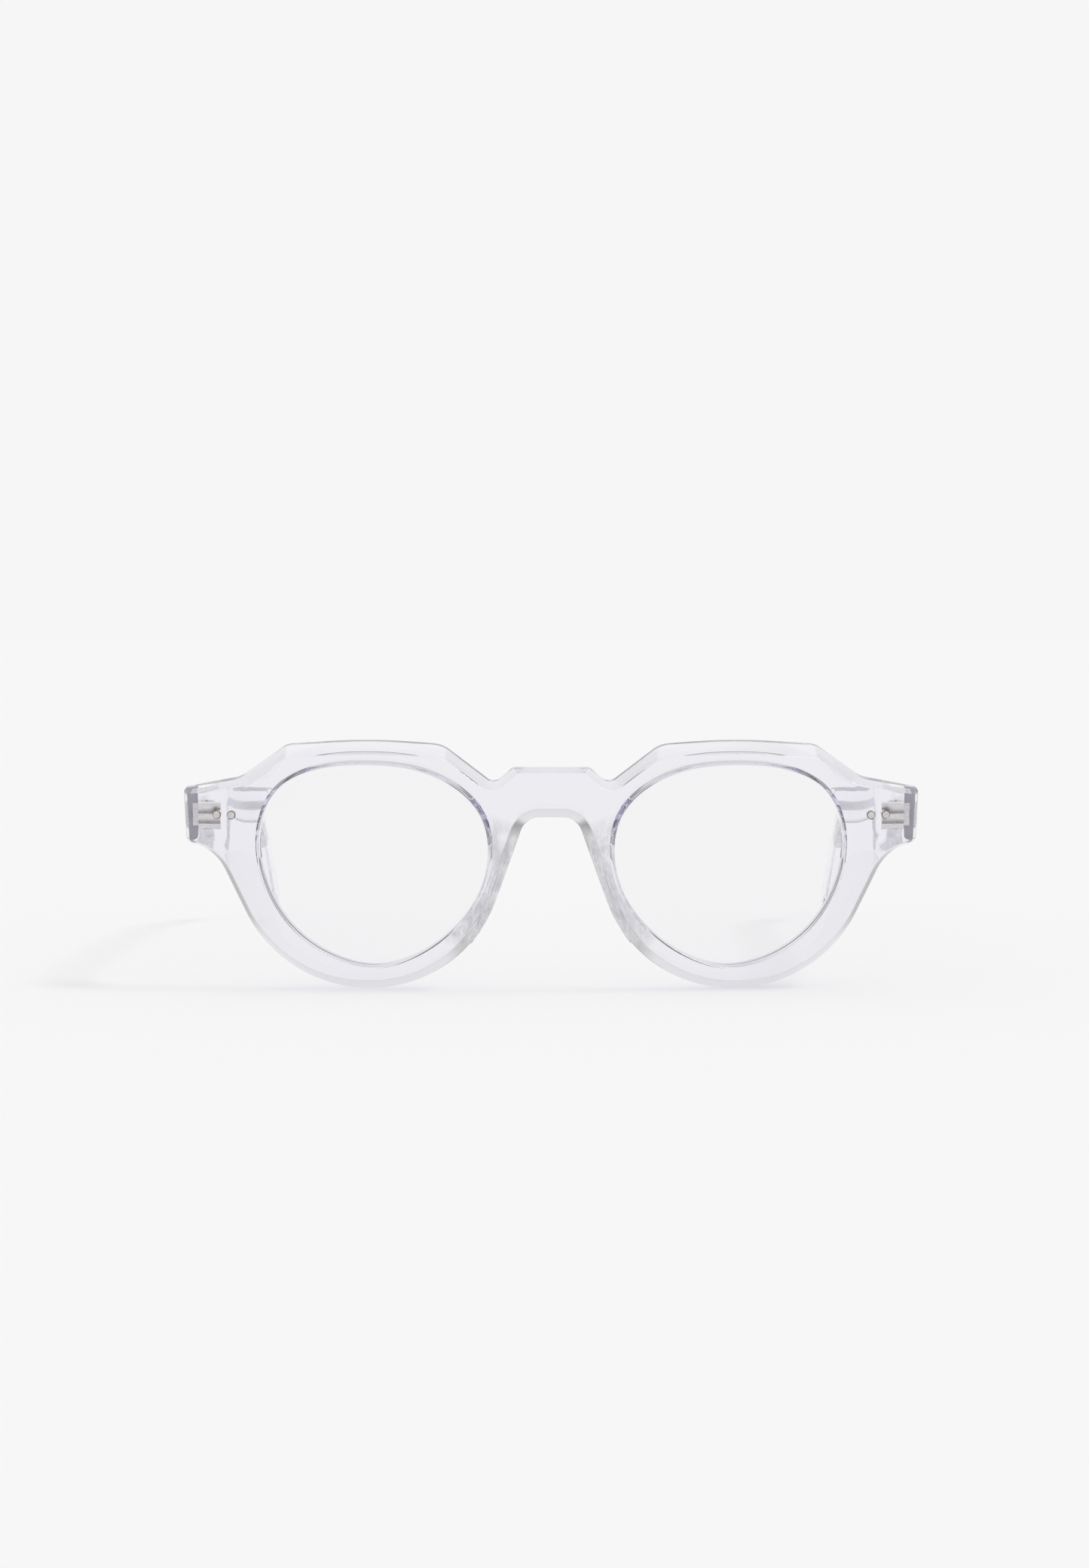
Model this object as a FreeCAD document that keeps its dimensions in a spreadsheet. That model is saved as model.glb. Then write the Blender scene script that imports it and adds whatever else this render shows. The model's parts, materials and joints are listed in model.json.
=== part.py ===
import FreeCAD, Part
import Sketcher
import math
import os

# Round spectacles with a full clear plastic front, two bevelled lenses and two folding temples.
# Lengths are in millimetres and angles in degrees.
# Front frame: X runs across the face, Y runs back towards the ears and Z runs up the front.
# Left and right are the wearer's, who looks along -Y, so the wearer's left is at +X.

Vector = FreeCAD.Vector

SIZES = (
    # the lens and its seat
    ("lens_width", 46.3),
    ("lens_height", 40.9),
    ("lens_gap", 23.4),
    ("lens_thickness", 2.0),
    ("lens_curve_radius", 132.5),
    ("lens_setback", 0.5),
    ("lens_clearance", 0.08),
    ("groove_depth", 0.6),
    # the front
    ("rim_below", 4.2),
    ("brow_above", 3.9),
    ("end_reach", 14.0),
    ("front_thickness", 6.0),
    ("wrap_radius", 350.0),
    ("bevel_width", 2.1),
    ("bevel_depth", 3.4),
    ("lug_width", 8.4),
    ("lug_thickness", 5.8),
    ("lug_step", 12.0),
    # the nose pads
    ("pad_length", 21.0),
    ("pad_depth", 4.6),
    ("pad_width", 3.3),
    ("pad_bite", 1.0),
    # the temples
    ("temple_length", 142.0),
    ("temple_height", 10.0),
    ("temple_waist", 6.0),
    ("temple_tip_height", 6.8),
    ("temple_thickness", 3.0),
    ("temple_tip_thickness", 2.8),
    ("temple_bend_at", 95.0),
    ("temple_bend_radius", 30.0),
    ("temple_bow_start", 17.0),
    ("temple_bow", 8.2),
    ("temple_inset", 0.2),
    ("temple_bevel", 0.7),
    ("temple_planing", 0.15),
    ("joint_gap", 0.1),
    ("core_height", 1.8),
    ("core_thickness", 1.2),
    ("core_start", 2.2),
    ("core_length", 118.0),
    ("core_clearance", 0.02),
    # the hinges
    ("barrel_diameter", 3.2),
    ("barrel_height", 0.96),
    ("barrel_clearance", 0.03),
    ("barrel_gap", 0.12),
    ("leaf_thickness", 1.0),
    ("front_leaf_width", 4.4),
    ("front_leaf_depth", 3.2),
    ("temple_leaf_length", 10.5),
    ("temple_leaf_height", 4.4),
    ("leaf_clearance", 0.05),
    ("screw_diameter", 1.2),
    ("screw_head_diameter", 2.0),
    ("screw_head_height", 0.45),
    ("screw_slot_width", 0.35),
    ("screw_slot_depth", 0.25),
    ("screw_clearance", 0.03),
    # the pins let into the front face
    ("pin_diameter", 1.6),
    ("pin_length", 1.5),
    ("pin_edge", 0.12),
    ("pin_spacing", 2.9),
    ("pin_from_end", 6.7),
    ("pin_rise", 0.7),
    ("pin_clearance", 0.02),
    # how far a cutting shape runs past what it cuts
    ("overrun", 8.0),
    # angles
    ("panto_angle", 6.7),
    ("hook_angle", 46.0),
)

# Outline of a lens, from its widest point towards the nose and round over the top.
# Each pair is a share of half the width, towards the nose, and a share of half the height.
LENS_OUTLINE_SHARES = (
    (1.00, 0.17), (0.93, 0.52), (0.72, 0.775), (0.40, 0.945), (-0.04, 1.00), (-0.47, 0.95),
    (-0.80, 0.77), (-0.97, 0.45), (-1.00, 0.12), (-0.91, -0.29), (-0.68, -0.67), (-0.34, -0.92),
    (0.02, -1.00), (0.37, -0.88), (0.70, -0.61), (0.92, -0.26),
)

# Top and bottom corners of the front's end, as shares of the front's height.
END_TOP_SHARE = 0.791
END_BOTTOM_SHARE = 0.575

# How far a lens's V edge is drawn past the faces that cut it, as a share of half the lens's thickness.
LENS_OVERSHOOT_SHARE = 0.20

# Corners of the front's outline on the wearer's left, from the top of the bridge round to its arch.
# Each has a share of half the front's width, a share of its height, and a share of the height as radius.
FRONT_CORNER_SHARES = (
    (0.103, 0.891, 0.016),
    (0.154, 0.826, 0.043),
    (0.294, 0.983, 0.120),
    (0.499, 1.001, 2.350),
    (0.716, 0.974, 0.071),
    (0.843, 0.835, 0.126),
    (1.000, END_TOP_SHARE, 0.020),
    (0.994, END_BOTTOM_SHARE, 0.034),
    (0.916, 0.551, 0.190),
    (0.732, 0.000, 0.536),
    (0.237, 0.000, 0.540),
    (0.069, 0.694, 0.079),
)

# Width of the bevel along each side of that outline, over its top and along its arch, as shares.
BEVEL_WIDTH_SHARES = (0.45, 0.80, 1.00, 1.00, 0.75, 0.45, 0.42, 0.42, 0.60, 1.00, 1.00)
BEVEL_TOP_SHARE = 0.22
BEVEL_ARCH_SHARE = 1.00
BEVEL_LEAST_RADIUS_SHARE = 0.15
BEVEL_OVERSHOOT_SHARE = 0.30

# Stations down a nose pad: shares of its length, of its depth, of its width, and of the width as set-in.
PAD_STATION_SHARES = (
    (0.00, 0.12, 0.45, 0.05),
    (0.18, 0.55, 0.85, 0.00),
    (0.45, 0.95, 1.00, 0.00),
    (0.72, 0.90, 1.00, 0.05),
    (0.92, 0.50, 0.80, 0.30),
    (1.00, 0.12, 0.45, 0.55),
)
PAD_TOP_SHARE = 0.12
PAD_SPLAY_SHARE = 0.42
PAD_ROUND_SHARE = 0.12
PAD_ARC_COUNT = 5

# Stations along a temple, as shares of its bow up to the bend, its bend, its hook and the round of its tip.
TEMPLE_BOW_SHARES = (0.15, 0.35, 0.60, 0.82, 1.00)
TEMPLE_BEND_SHARES = (0.14, 0.28, 0.42, 0.57, 0.71, 0.86, 1.00)
TEMPLE_HOOK_SHARES = (0.50, 1.00)
TEMPLE_END_SHARES = (0.45, 0.75, 0.92, 0.98)
TEMPLE_AHEAD_SHARE = 0.15
CORE_BEVEL_SHARE = 0.25

# Most of a side that the roundings of its two corners may take up.
SIDE_USE_SHARE = 0.995

OUTLINE_SAMPLE_COUNT = 5
BARREL_COUNT = 5
SETTLING_ROUNDS = 5
FACET_TOLERANCE_SHARE = 0.002

SIDES = (("left", 1), ("right", -1))
PIN_NAMES = ("outer_pin", "inner_pin")


# Places worked out from the sizes, as formulas of a second sheet.
PLACES = (
    ("lens_centre_x", "(Sizes.lens_gap + Sizes.lens_width) / 2"),
    ("lens_centre_z", "Sizes.rim_below + Sizes.lens_height / 2"),
    ("half_width", "lens_centre_x + Sizes.lens_width / 2 + Sizes.end_reach"),
    ("front_height", "Sizes.rim_below + Sizes.lens_height + Sizes.brow_above"),
    ("end_setback", "Sizes.wrap_radius - sqrt(Sizes.wrap_radius ^ 2 - half_width ^ 2)"),
    ("joint_y", "end_setback + Sizes.lug_thickness"),
    ("joint_z", "front_height * (END_TOP_SHARE + END_BOTTOM_SHARE) / 2"),
    ("temple_outer_x", "half_width - Sizes.temple_inset"),
    ("temple_inner_x", "temple_outer_x - Sizes.temple_thickness"),
    ("barrel_radius", "Sizes.barrel_diameter / 2"),
    ("axis_x", "temple_inner_x - barrel_radius - Sizes.barrel_gap"),
    ("axis_y", "joint_y + barrel_radius + Sizes.barrel_gap"),
    ("barrel_pitch", "Sizes.barrel_height + Sizes.barrel_clearance"),
    ("stack_height", "BARREL_COUNT * barrel_pitch - Sizes.barrel_clearance"),
    ("stack_bottom", "joint_z - stack_height / 2"),
    ("barrel_inner_x", "axis_x - barrel_radius"),
    ("front_leaf_x", "temple_inner_x - Sizes.front_leaf_width"),
    ("screw_radius", "Sizes.screw_diameter / 2"),
    ("head_radius", "Sizes.screw_head_diameter / 2"),
    ("pin_radius", "Sizes.pin_diameter / 2"),
)


def new_document():
    """Open the document with a sheet of driving sizes and a sheet of places that follow them."""
    document = FreeCAD.newDocument("Spectacles")
    sizes = document.addObject("Spreadsheet::Sheet", "Sizes")
    for row, (alias, value) in enumerate(SIZES, start=1):
        sizes.set("A%d" % row, alias.replace("_", " "))
        sizes.set("B%d" % row, str(value))
        sizes.setAlias("B%d" % row, alias)
    places = document.addObject("Spreadsheet::Sheet", "Places")
    table_values = {
        "END_TOP_SHARE": END_TOP_SHARE,
        "END_BOTTOM_SHARE": END_BOTTOM_SHARE,
        "BARREL_COUNT": BARREL_COUNT,
    }
    for row, (alias, formula) in enumerate(PLACES, start=1):
        for name, value in table_values.items():
            formula = formula.replace(name, str(value))
        places.set("A%d" % row, alias.replace("_", " "))
        places.set("B%d" % row, "=" + formula)
        places.setAlias("B%d" % row, alias)
    document.recompute()
    return document, sizes, places


doc, sizes_sheet, places_sheet = new_document()


def size(alias):
    """Return one driving size from the sheet."""
    return float(sizes_sheet.get(alias))


def place(alias):
    """Return one place that follows the driving sizes."""
    return float(places_sheet.get(alias))


lens_centre_x = place("lens_centre_x")
lens_centre_z = place("lens_centre_z")
half_width = place("half_width")
front_height = place("front_height")
joint_y = place("joint_y")
joint_z = place("joint_z")
temple_outer_x = place("temple_outer_x")
temple_inner_x = place("temple_inner_x")
axis_x = place("axis_x")
axis_y = place("axis_y")
lug_inner_x = half_width - size("lug_width")
panto = math.radians(size("panto_angle"))
overrun = size("overrun")


def front_face(x):
    """Return how far the front face lies behind its middle at a place across the face."""
    radius = size("wrap_radius")
    return radius - math.sqrt(radius * radius - x * x)


def spline(points):
    """Return a smooth edge through points."""
    curve = Part.BSplineCurve()
    curve.interpolate(points)
    return curve.toShape()


def closed_spline(points):
    """Return a smooth closed wire through points."""
    curve = Part.BSplineCurve()
    curve.interpolate(Points=points, PeriodicFlag=True)
    return Part.Wire([curve.toShape()])


def box_between(low, high):
    """Return a box between two opposite corners."""
    return Part.makeBox(high.x - low.x, high.y - low.y, high.z - low.z, low)


def mirror_to(shape, side):
    """Return a shape made for the wearer's left on the side asked for."""
    if side > 0:
        return shape
    return shape.mirror(Vector(), Vector(1, 0, 0))


# The front's outline

def front_corners():
    """Return the outline's corners, clockwise as seen from the front, and the bevel of each side."""
    half = [(x * half_width, z * front_height, r * front_height) for x, z, r in FRONT_CORNER_SHARES]
    mirrored = [(-x, z, r) for x, z, r in reversed(half)]
    shares = list(BEVEL_WIDTH_SHARES) + [BEVEL_ARCH_SHARE]
    shares += list(reversed(BEVEL_WIDTH_SHARES)) + [BEVEL_TOP_SHARE]
    bevels = [share * size("bevel_width") for share in shares]
    return half + mirrored, bevels


def side_direction(corners, i):
    """Return the unit direction of the side that follows a corner."""
    x, z, _ = corners[i % len(corners)]
    next_x, next_z, _ = corners[(i + 1) % len(corners)]
    direction = Vector(next_x - x, 0, next_z - z)
    return direction.normalize()


def inset_corners(corners, widths):
    """Move each side of a clockwise outline inwards by its own width, and fit the corners' radii."""
    inset = []
    for i, (x, z, radius) in enumerate(corners):
        before = side_direction(corners, i - 1)
        after = side_direction(corners, i)
        width_before = widths[i - 1]
        width_after = widths[i]
        turn = before.z * after.x - before.x * after.z
        along = (width_before * before.dot(after) - width_after) / turn
        shift = Vector(before.z, 0, -before.x) * width_before + before * along
        mean_width = (width_before + width_after) / 2
        if turn > 0:
            radius = max(radius - mean_width, BEVEL_LEAST_RADIUS_SHARE * radius)
        else:
            radius = radius + mean_width
        inset.append((x + shift.x, z + shift.z, radius))
    return inset


def fitted_radii(corners):
    """Limit the corners' radii to what the sides between them have room for."""
    reach_per_radius = []
    for i in range(len(corners)):
        turn = side_direction(corners, i - 1).getAngle(side_direction(corners, i))
        reach_per_radius.append(math.tan(turn / 2))
    radii = [radius for _, _, radius in corners]
    for i, (x, z, _) in enumerate(corners):
        following = (i + 1) % len(corners)
        next_x, next_z, _ = corners[following]
        room = SIDE_USE_SHARE * math.hypot(next_x - x, next_z - z)
        wanted = corners[i][2] * reach_per_radius[i] + corners[following][2] * reach_per_radius[following]
        if wanted > room:
            radii[i] = min(radii[i], corners[i][2] * room / wanted)
            radii[following] = min(radii[following], corners[following][2] * room / wanted)
    return [(x, z, radius) for (x, z, _), radius in zip(corners, radii)]


def outline_runs(sharp_corners):
    """Return the rounded outline as runs of sample points, an arc and a straight for each corner."""
    corners = fitted_radii(sharp_corners)
    arcs = []
    for i, (x, z, radius) in enumerate(corners):
        back = side_direction(corners, i - 1) * -1
        ahead = side_direction(corners, i)
        half_angle = back.getAngle(ahead) / 2
        bisector = (back + ahead).normalize()
        corner = Vector(x, 0, z)
        centre = corner + bisector * (radius / math.sin(half_angle))
        cut = radius / math.tan(half_angle)
        start = corner + back * cut
        end = corner + ahead * cut
        angle = (start - centre).getAngle(end - centre)
        points = []
        for k in range(OUTLINE_SAMPLE_COUNT):
            part_angle = angle * k / (OUTLINE_SAMPLE_COUNT - 1)
            weight_start = math.sin(angle - part_angle) / math.sin(angle)
            weight_end = math.sin(part_angle) / math.sin(angle)
            points.append(centre + (start - centre) * weight_start + (end - centre) * weight_end)
        points[0] = start
        points[-1] = end
        arcs.append(points)
    runs = []
    for i, arc in enumerate(arcs):
        following = arcs[(i + 1) % len(arcs)]
        start = arc[-1]
        end = following[0]
        steps = range(OUTLINE_SAMPLE_COUNT)
        straight = [start + (end - start) * (k / (OUTLINE_SAMPLE_COUNT - 1)) for k in steps]
        straight[-1] = end
        runs.append(arc)
        runs.append(straight)
    return runs


def front_walls():
    """Return the bevelled outline as a tall solid, before its faces are cut."""
    corners, bevels = front_corners()
    outer_runs = outline_runs(corners)
    inner_runs = outline_runs(inset_corners(corners, bevels))
    rings = [[], [], [], []]
    for inner_run, outer_run in zip(inner_runs, outer_runs):
        ahead = []
        deep = []
        for inner, outer in zip(inner_run, outer_run):
            on_face = Vector(inner.x, front_face(inner.x), inner.z)
            behind = Vector(outer.x, front_face(outer.x) + size("bevel_depth"), outer.z)
            ahead.append(on_face + (on_face - behind) * BEVEL_OVERSHOOT_SHARE)
            deep.append(behind)
        rings[0].append(spline([Vector(p.x, -overrun, p.z) for p in ahead]))
        rings[1].append(spline(ahead))
        rings[2].append(spline(deep))
        rings[3].append(spline([Vector(p.x, joint_y + overrun, p.z) for p in deep]))
    return Part.makeLoft([Part.Wire(ring) for ring in rings], True, True)


def front_plan():
    """Return the slab between the curved front and back faces, with a smooth step out to each lug."""
    reach = half_width + overrun
    back_radius = size("wrap_radius") - size("front_thickness")
    foot_x = lug_inner_x - size("lug_step")

    def back_face(x):
        return size("wrap_radius") - math.sqrt(back_radius * back_radius - x * x)

    edge_y = front_face(reach)
    front_arc = Part.Arc(Vector(-reach, edge_y, 0), Vector(), Vector(reach, edge_y, 0))
    back_arc = Part.Arc(
        Vector(foot_x, back_face(foot_x), 0),
        Vector(0, size("front_thickness"), 0),
        Vector(-foot_x, back_face(foot_x), 0),
    )
    shoulder = Vector(lug_inner_x, joint_y, 0)
    foot = Vector(foot_x, back_face(foot_x), 0)
    towards_nose = Vector(-math.sqrt(back_radius * back_radius - foot_x * foot_x), -foot_x, 0)
    step = Part.BSplineCurve()
    step.interpolate(
        Points=[shoulder, foot], InitialTangent=Vector(-1, 0, 0), FinalTangent=towards_nose.normalize(),
    )
    left_edges = [
        Part.LineSegment(Vector(reach, edge_y, 0), Vector(reach, joint_y, 0)).toShape(),
        Part.LineSegment(Vector(reach, joint_y, 0), shoulder).toShape(),
        step.toShape(),
    ]
    edges = [front_arc.toShape()] + left_edges + [back_arc.toShape()]
    edges += [mirror_to(edge, -1) for edge in reversed(left_edges)]
    plan = Part.Face(Part.Wire(Part.sortEdges(edges)[0]))
    plan.translate(Vector(0, 0, -overrun))
    return plan.extrude(Vector(0, 0, front_height + 2 * overrun))


# The lenses and their openings

lens_tilt = math.asin(lens_centre_x / size("wrap_radius"))


def lens_frame_point(across, depth, up):
    """Place a point of the left lens: across from its centre, depth behind the front face, and up."""
    return Vector(
        lens_centre_x + across * math.cos(lens_tilt) - depth * math.sin(lens_tilt),
        front_face(lens_centre_x) + across * math.sin(lens_tilt) + depth * math.cos(lens_tilt),
        lens_centre_z + up,
    )


def lens_ring(grow, depth):
    """Return a closed wire along the lens outline, grown by a length, at a depth given by place."""
    half_across = size("lens_width") / 2 + grow
    half_up = size("lens_height") / 2 + grow
    points = []
    for towards_nose, above in LENS_OUTLINE_SHARES:
        across = -towards_nose * half_across
        up = above * half_up
        points.append(lens_frame_point(across, depth(across, up), up))
    return closed_spline(points)


def lens_depth(setback):
    """Return the depth of a lens surface that lies a set-back behind the lens's front surface."""
    radius = size("lens_curve_radius") - setback

    def depth(across, up):
        sag = radius - math.sqrt(radius * radius - across * across - up * up)
        return size("lens_setback") + setback + sag
    return depth


def flat_depth(value):
    """Return a constant depth."""
    return lambda across, up: value


def opening_cutter():
    """Return the solid that cuts a lens opening with the V groove in its wall."""
    lip = -size("groove_depth")
    slack = size("lens_clearance")
    glass = size("lens_thickness")
    rings = [
        lens_ring(lip, flat_depth(-overrun)),
        lens_ring(lip, lens_depth(-slack)),
        lens_ring(slack, lens_depth(glass / 2)),
        lens_ring(lip, lens_depth(glass + slack)),
        lens_ring(lip, flat_depth(size("front_thickness") + overrun)),
    ]
    return Part.makeLoft(rings, True, True)


def lens():
    """Return the left lens: a curved disc with a V edge that sits in the groove."""
    half_glass = size("lens_thickness") / 2
    reach = half_glass * (1 + LENS_OVERSHOOT_SHARE)
    lip = -(size("groove_depth") + size("lens_clearance")) * (1 + LENS_OVERSHOOT_SHARE)
    rings = [
        lens_ring(lip, lens_depth(half_glass - reach)),
        lens_ring(0, lens_depth(half_glass)),
        lens_ring(lip, lens_depth(half_glass + reach)),
    ]
    edge = Part.makeLoft(rings, True, True)
    radius = size("lens_curve_radius")
    centre = lens_frame_point(0, size("lens_setback") + radius, 0)
    front_ball = Part.makeSphere(radius, centre)
    back_ball = Part.makeSphere(radius - size("lens_thickness"), centre)
    return edge.common(front_ball).cut(back_ball)


# The temples and their cores

def temple_point(along, up):
    """Return a point beside the left hinge: a length back along the temple's line and a height over it."""
    return Vector(
        0,
        joint_y + along * math.cos(panto) + up * math.sin(panto),
        joint_z - along * math.sin(panto) + up * math.cos(panto),
    )


def hook_point(along, up):
    """Return a point past the bend: a length along the hook from the bend's corner and a height over it."""
    slope = panto + math.radians(size("hook_angle"))
    corner = temple_point(size("temple_bend_at") + bend_tangent, 0)
    return corner + Vector(
        0,
        along * math.cos(slope) + up * math.sin(slope),
        -along * math.sin(slope) + up * math.cos(slope),
    )


bend_half_angle = math.radians(size("hook_angle")) / 2
bend_tangent = size("temple_bend_radius") * math.tan(bend_half_angle)
bend_arc = 2 * size("temple_bend_radius") * bend_half_angle
hook_straight = size("temple_length") - size("temple_bend_at") - bend_arc


temple_reach = (
    (size("temple_bend_at") + bend_tangent) * math.cos(panto)
    + (bend_tangent + hook_straight) * math.cos(panto + math.radians(size("hook_angle")))
)


def temple_line(along):
    """Return the point of the temple's side-on line at a length from the joint, and its slope there."""
    into_bend = along - size("temple_bend_at")
    if into_bend <= 0:
        return temple_point(along, 0), panto
    if into_bend >= bend_arc:
        return hook_point(into_bend - bend_arc + bend_tangent, 0), panto + 2 * bend_half_angle
    radius = size("temple_bend_radius")
    angle = into_bend / radius
    point = temple_point(size("temple_bend_at") + radius * math.sin(angle), radius * (math.cos(angle) - 1))
    return point, panto + angle


def bow_at(y):
    """Return how far the temple has bent inwards at a place behind the joint."""
    start = joint_y + size("temple_bow_start")
    share = max(y - start, 0) / (joint_y + temple_reach - start)
    return size("temple_bow") * share * share


def bevelled_section(centre, slope, thickness, height, bevel):
    """Return a rectangle with bevelled corners, square to the temple's line, as a closed wire."""
    up = Vector(0, math.sin(slope), math.cos(slope))
    half_across = thickness / 2
    half_up = height / 2
    outline = (
        (half_across - bevel, half_up),
        (half_across, half_up - bevel),
        (half_across, bevel - half_up),
        (half_across - bevel, -half_up),
        (bevel - half_across, -half_up),
        (-half_across, bevel - half_up),
        (-half_across, half_up - bevel),
        (bevel - half_across, half_up),
    )
    points = [centre + Vector(across, 0, 0) + up * rise for across, rise in outline]
    return Part.makePolygon(points + points[:1])


def temple_height_at(along):
    """Return the temple's height: it tapers to the waist before the bend and swells to the tip."""
    bend_at = size("temple_bend_at")
    if along <= bend_at:
        share = max(along, 0) / bend_at
        return size("temple_height") + (size("temple_waist") - size("temple_height")) * share
    share = (along - bend_at) / (size("temple_length") - bend_at)
    return size("temple_waist") + (size("temple_tip_height") - size("temple_waist")) * share


def temple_thickness_at(along):
    """Return the temple's thickness, which thins steadily towards the tip."""
    share = max(along, 0) / size("temple_length")
    return size("temple_thickness") + (size("temple_tip_thickness") - size("temple_thickness")) * share


def temple_stations(begin):
    """Return lengths along the temple from a beginning before its bow to the end of its bend."""
    bow_start = size("temple_bow_start")
    bend_at = size("temple_bend_at")
    stations = [begin, bow_start]
    stations += [bow_start + share * (bend_at - bow_start) for share in TEMPLE_BOW_SHARES]
    stations += [bend_at + share * bend_arc for share in TEMPLE_BEND_SHARES]
    return stations


def temple_blank():
    """Return the left temple with bevelled edges, before its core and hinge are let in.

    It is drawn a little thick on the outside up to where its bow starts, and planed flat there.
    """
    length = size("temple_length")
    end_radius = size("temple_tip_height") / 2
    stations = temple_stations(-TEMPLE_AHEAD_SHARE * size("temple_height"))
    hook_from = stations[-1]
    stations += [hook_from + share * (length - end_radius - hook_from) for share in TEMPLE_HOOK_SHARES]
    sections = []
    for along in stations:
        sections.append((along, temple_height_at(along), size("temple_bevel")))
    for share in TEMPLE_END_SHARES:
        narrowed = math.sqrt(1 - share * share)
        height = size("temple_tip_height") * narrowed
        sections.append((length - end_radius * (1 - share), height, size("temple_bevel") * narrowed))
    wires = []
    for along, height, bevel in sections:
        point, slope = temple_line(along)
        thickness = temple_thickness_at(along)
        inner_x = temple_outer_x - thickness - bow_at(point.y)
        if along <= size("temple_bow_start"):
            thickness += size("temple_planing")
        centre = Vector(inner_x + thickness / 2, point.y, point.z)
        wires.append(bevelled_section(centre, slope, thickness, height, bevel))
    solid = Part.makeLoft(wires, True, True)
    butt_y = joint_y + size("joint_gap")
    below = joint_z - size("temple_height") - size("temple_length")
    above = joint_z + size("temple_height")
    ahead = box_between(Vector(0, butt_y - overrun, below), Vector(half_width + overrun, butt_y, above))
    outside = box_between(
        Vector(temple_outer_x, butt_y - overrun, below),
        Vector(temple_outer_x + overrun, joint_y + size("temple_bend_at"), above),
    )
    return solid.cut([ahead, outside])


def core(clearance):
    """Return the left temple's stiffening core, or its cavity when given a clearance."""
    end = size("core_start") + size("core_length") + clearance
    stations = temple_stations(size("core_start") - clearance)
    stations = [along for along in stations if along < end] + [end]
    thickness = size("core_thickness") + 2 * clearance
    height = size("core_height") + 2 * clearance
    against_leaf = temple_inner_x + size("leaf_thickness") + size("core_thickness") / 2
    wires = []
    for along in stations:
        point, slope = temple_line(along)
        centre = Vector(against_leaf - bow_at(point.y), point.y, point.z)
        wires.append(bevelled_section(centre, slope, thickness, height, thickness * CORE_BEVEL_SHARE))
    return Part.makeLoft(wires, True, True)


def temple():
    """Return the left temple with the seats of its core and its hinge plate cut in."""
    low = Vector(
        temple_inner_x - overrun,
        joint_y - overrun,
        joint_z - size("temple_leaf_height") / 2 - size("leaf_clearance"),
    )
    high = Vector(
        temple_inner_x + size("leaf_thickness"),
        axis_y - place("barrel_radius") + size("temple_leaf_length") + size("leaf_clearance"),
        joint_z + size("temple_leaf_height") / 2 + size("leaf_clearance"),
    )
    return temple_blank().cut(core(size("core_clearance"))).cut(box_between(low, high))


# The nose pads

def arc_points(start, middle, end):
    """Return points spaced evenly along the arc through three points."""
    return Part.Arc(start, middle, end).toShape().discretize(PAD_ARC_COUNT)


def nose_pad(slab):
    """Return the left nose pad, lofted down the nose side and bonded to the back of the front's slab."""
    top = FRONT_CORNER_SHARES[-1]
    foot = FRONT_CORNER_SHARES[-2]
    upper = Vector(top[0] * half_width, 0, top[1] * front_height)
    lower = Vector(foot[0] * half_width, 0, foot[1] * front_height)
    down = (lower - upper).normalize()
    back = size("front_thickness")
    sections = []
    for along, deep, wide, set_in in PAD_STATION_SHARES:
        line = upper + down * (PAD_TOP_SHARE * front_height + along * size("pad_length"))
        depth = deep * size("pad_depth")
        width = wide * size("pad_width")
        inner_x = line.x + set_in * size("pad_width")
        root_y = back + front_face(line.x) - size("pad_bite")
        peak_y = root_y + size("pad_bite") + depth
        splay = PAD_SPLAY_SHARE * depth
        root_inner = Vector(inner_x, root_y, line.z)
        root_outer = Vector(inner_x + width + splay, root_y, line.z)
        peak = Vector(inner_x + splay + width / 2, peak_y, line.z)
        side_inner = (root_inner + peak) * 0.5 + Vector(-width, depth, 0) * PAD_ROUND_SHARE
        side_outer = (root_outer + peak) * 0.5 + Vector(width, depth, 0) * PAD_ROUND_SHARE
        inner_points = arc_points(root_inner, side_inner, peak)
        outer_points = arc_points(peak, side_outer, root_outer)
        sections.append(Part.makePolygon(inner_points + outer_points[1:] + inner_points[:1]))
    return Part.makeLoft(sections, True, True).cut(slab)


# Small helpers for bound primitives

def signed(side, expression):
    """Return an expression for a coordinate across the face on either side."""
    return expression if side > 0 else "-(%s)" % expression


def bind(feature, **expressions):
    """Bind properties of a document object to expressions, a double underscore standing for a dot."""
    for name, expression in expressions.items():
        feature.setExpression(name.replace("__", "."), expression)
    return feature


def bound_box(name, side, inner_x, length, y, width, z, height):
    """Add a box whose corner and sizes follow the sheets; inner_x is its face nearest the nose."""
    box = doc.addObject("Part::Box", name)
    x = inner_x if side > 0 else "-(%s) - (%s)" % (inner_x, length)
    return bind(
        box, Length=length, Width=width, Height=height,
        Placement__Base__x=x, Placement__Base__y=y, Placement__Base__z=z,
    )


def bound_cylinder(name, side, radius, z, height):
    """Add an upright cylinder on a hinge's axis."""
    cylinder = doc.addObject("Part::Cylinder", name)
    return bind(
        cylinder, Radius=radius, Height=height,
        Placement__Base__x=signed(side, "Places.axis_x"), Placement__Base__y="Places.axis_y",
        Placement__Base__z=z,
    )


def joined(name, pieces, tools):
    """Fuse pieces and take tools out of them, as one document object."""
    fused = doc.addObject("Part::MultiFuse", name + "_solid")
    fused.Shapes = pieces
    fused.Refine = True
    holes = doc.addObject("Part::MultiFuse", name + "_holes")
    holes.Shapes = tools
    result = doc.addObject("Part::Cut", name)
    result.Base = fused
    result.Tool = holes
    return result


# The hinges

def barrel_z(index):
    """Return the expression for the bottom of one barrel of the stack."""
    return "Places.stack_bottom + %d * Places.barrel_pitch" % index


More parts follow.
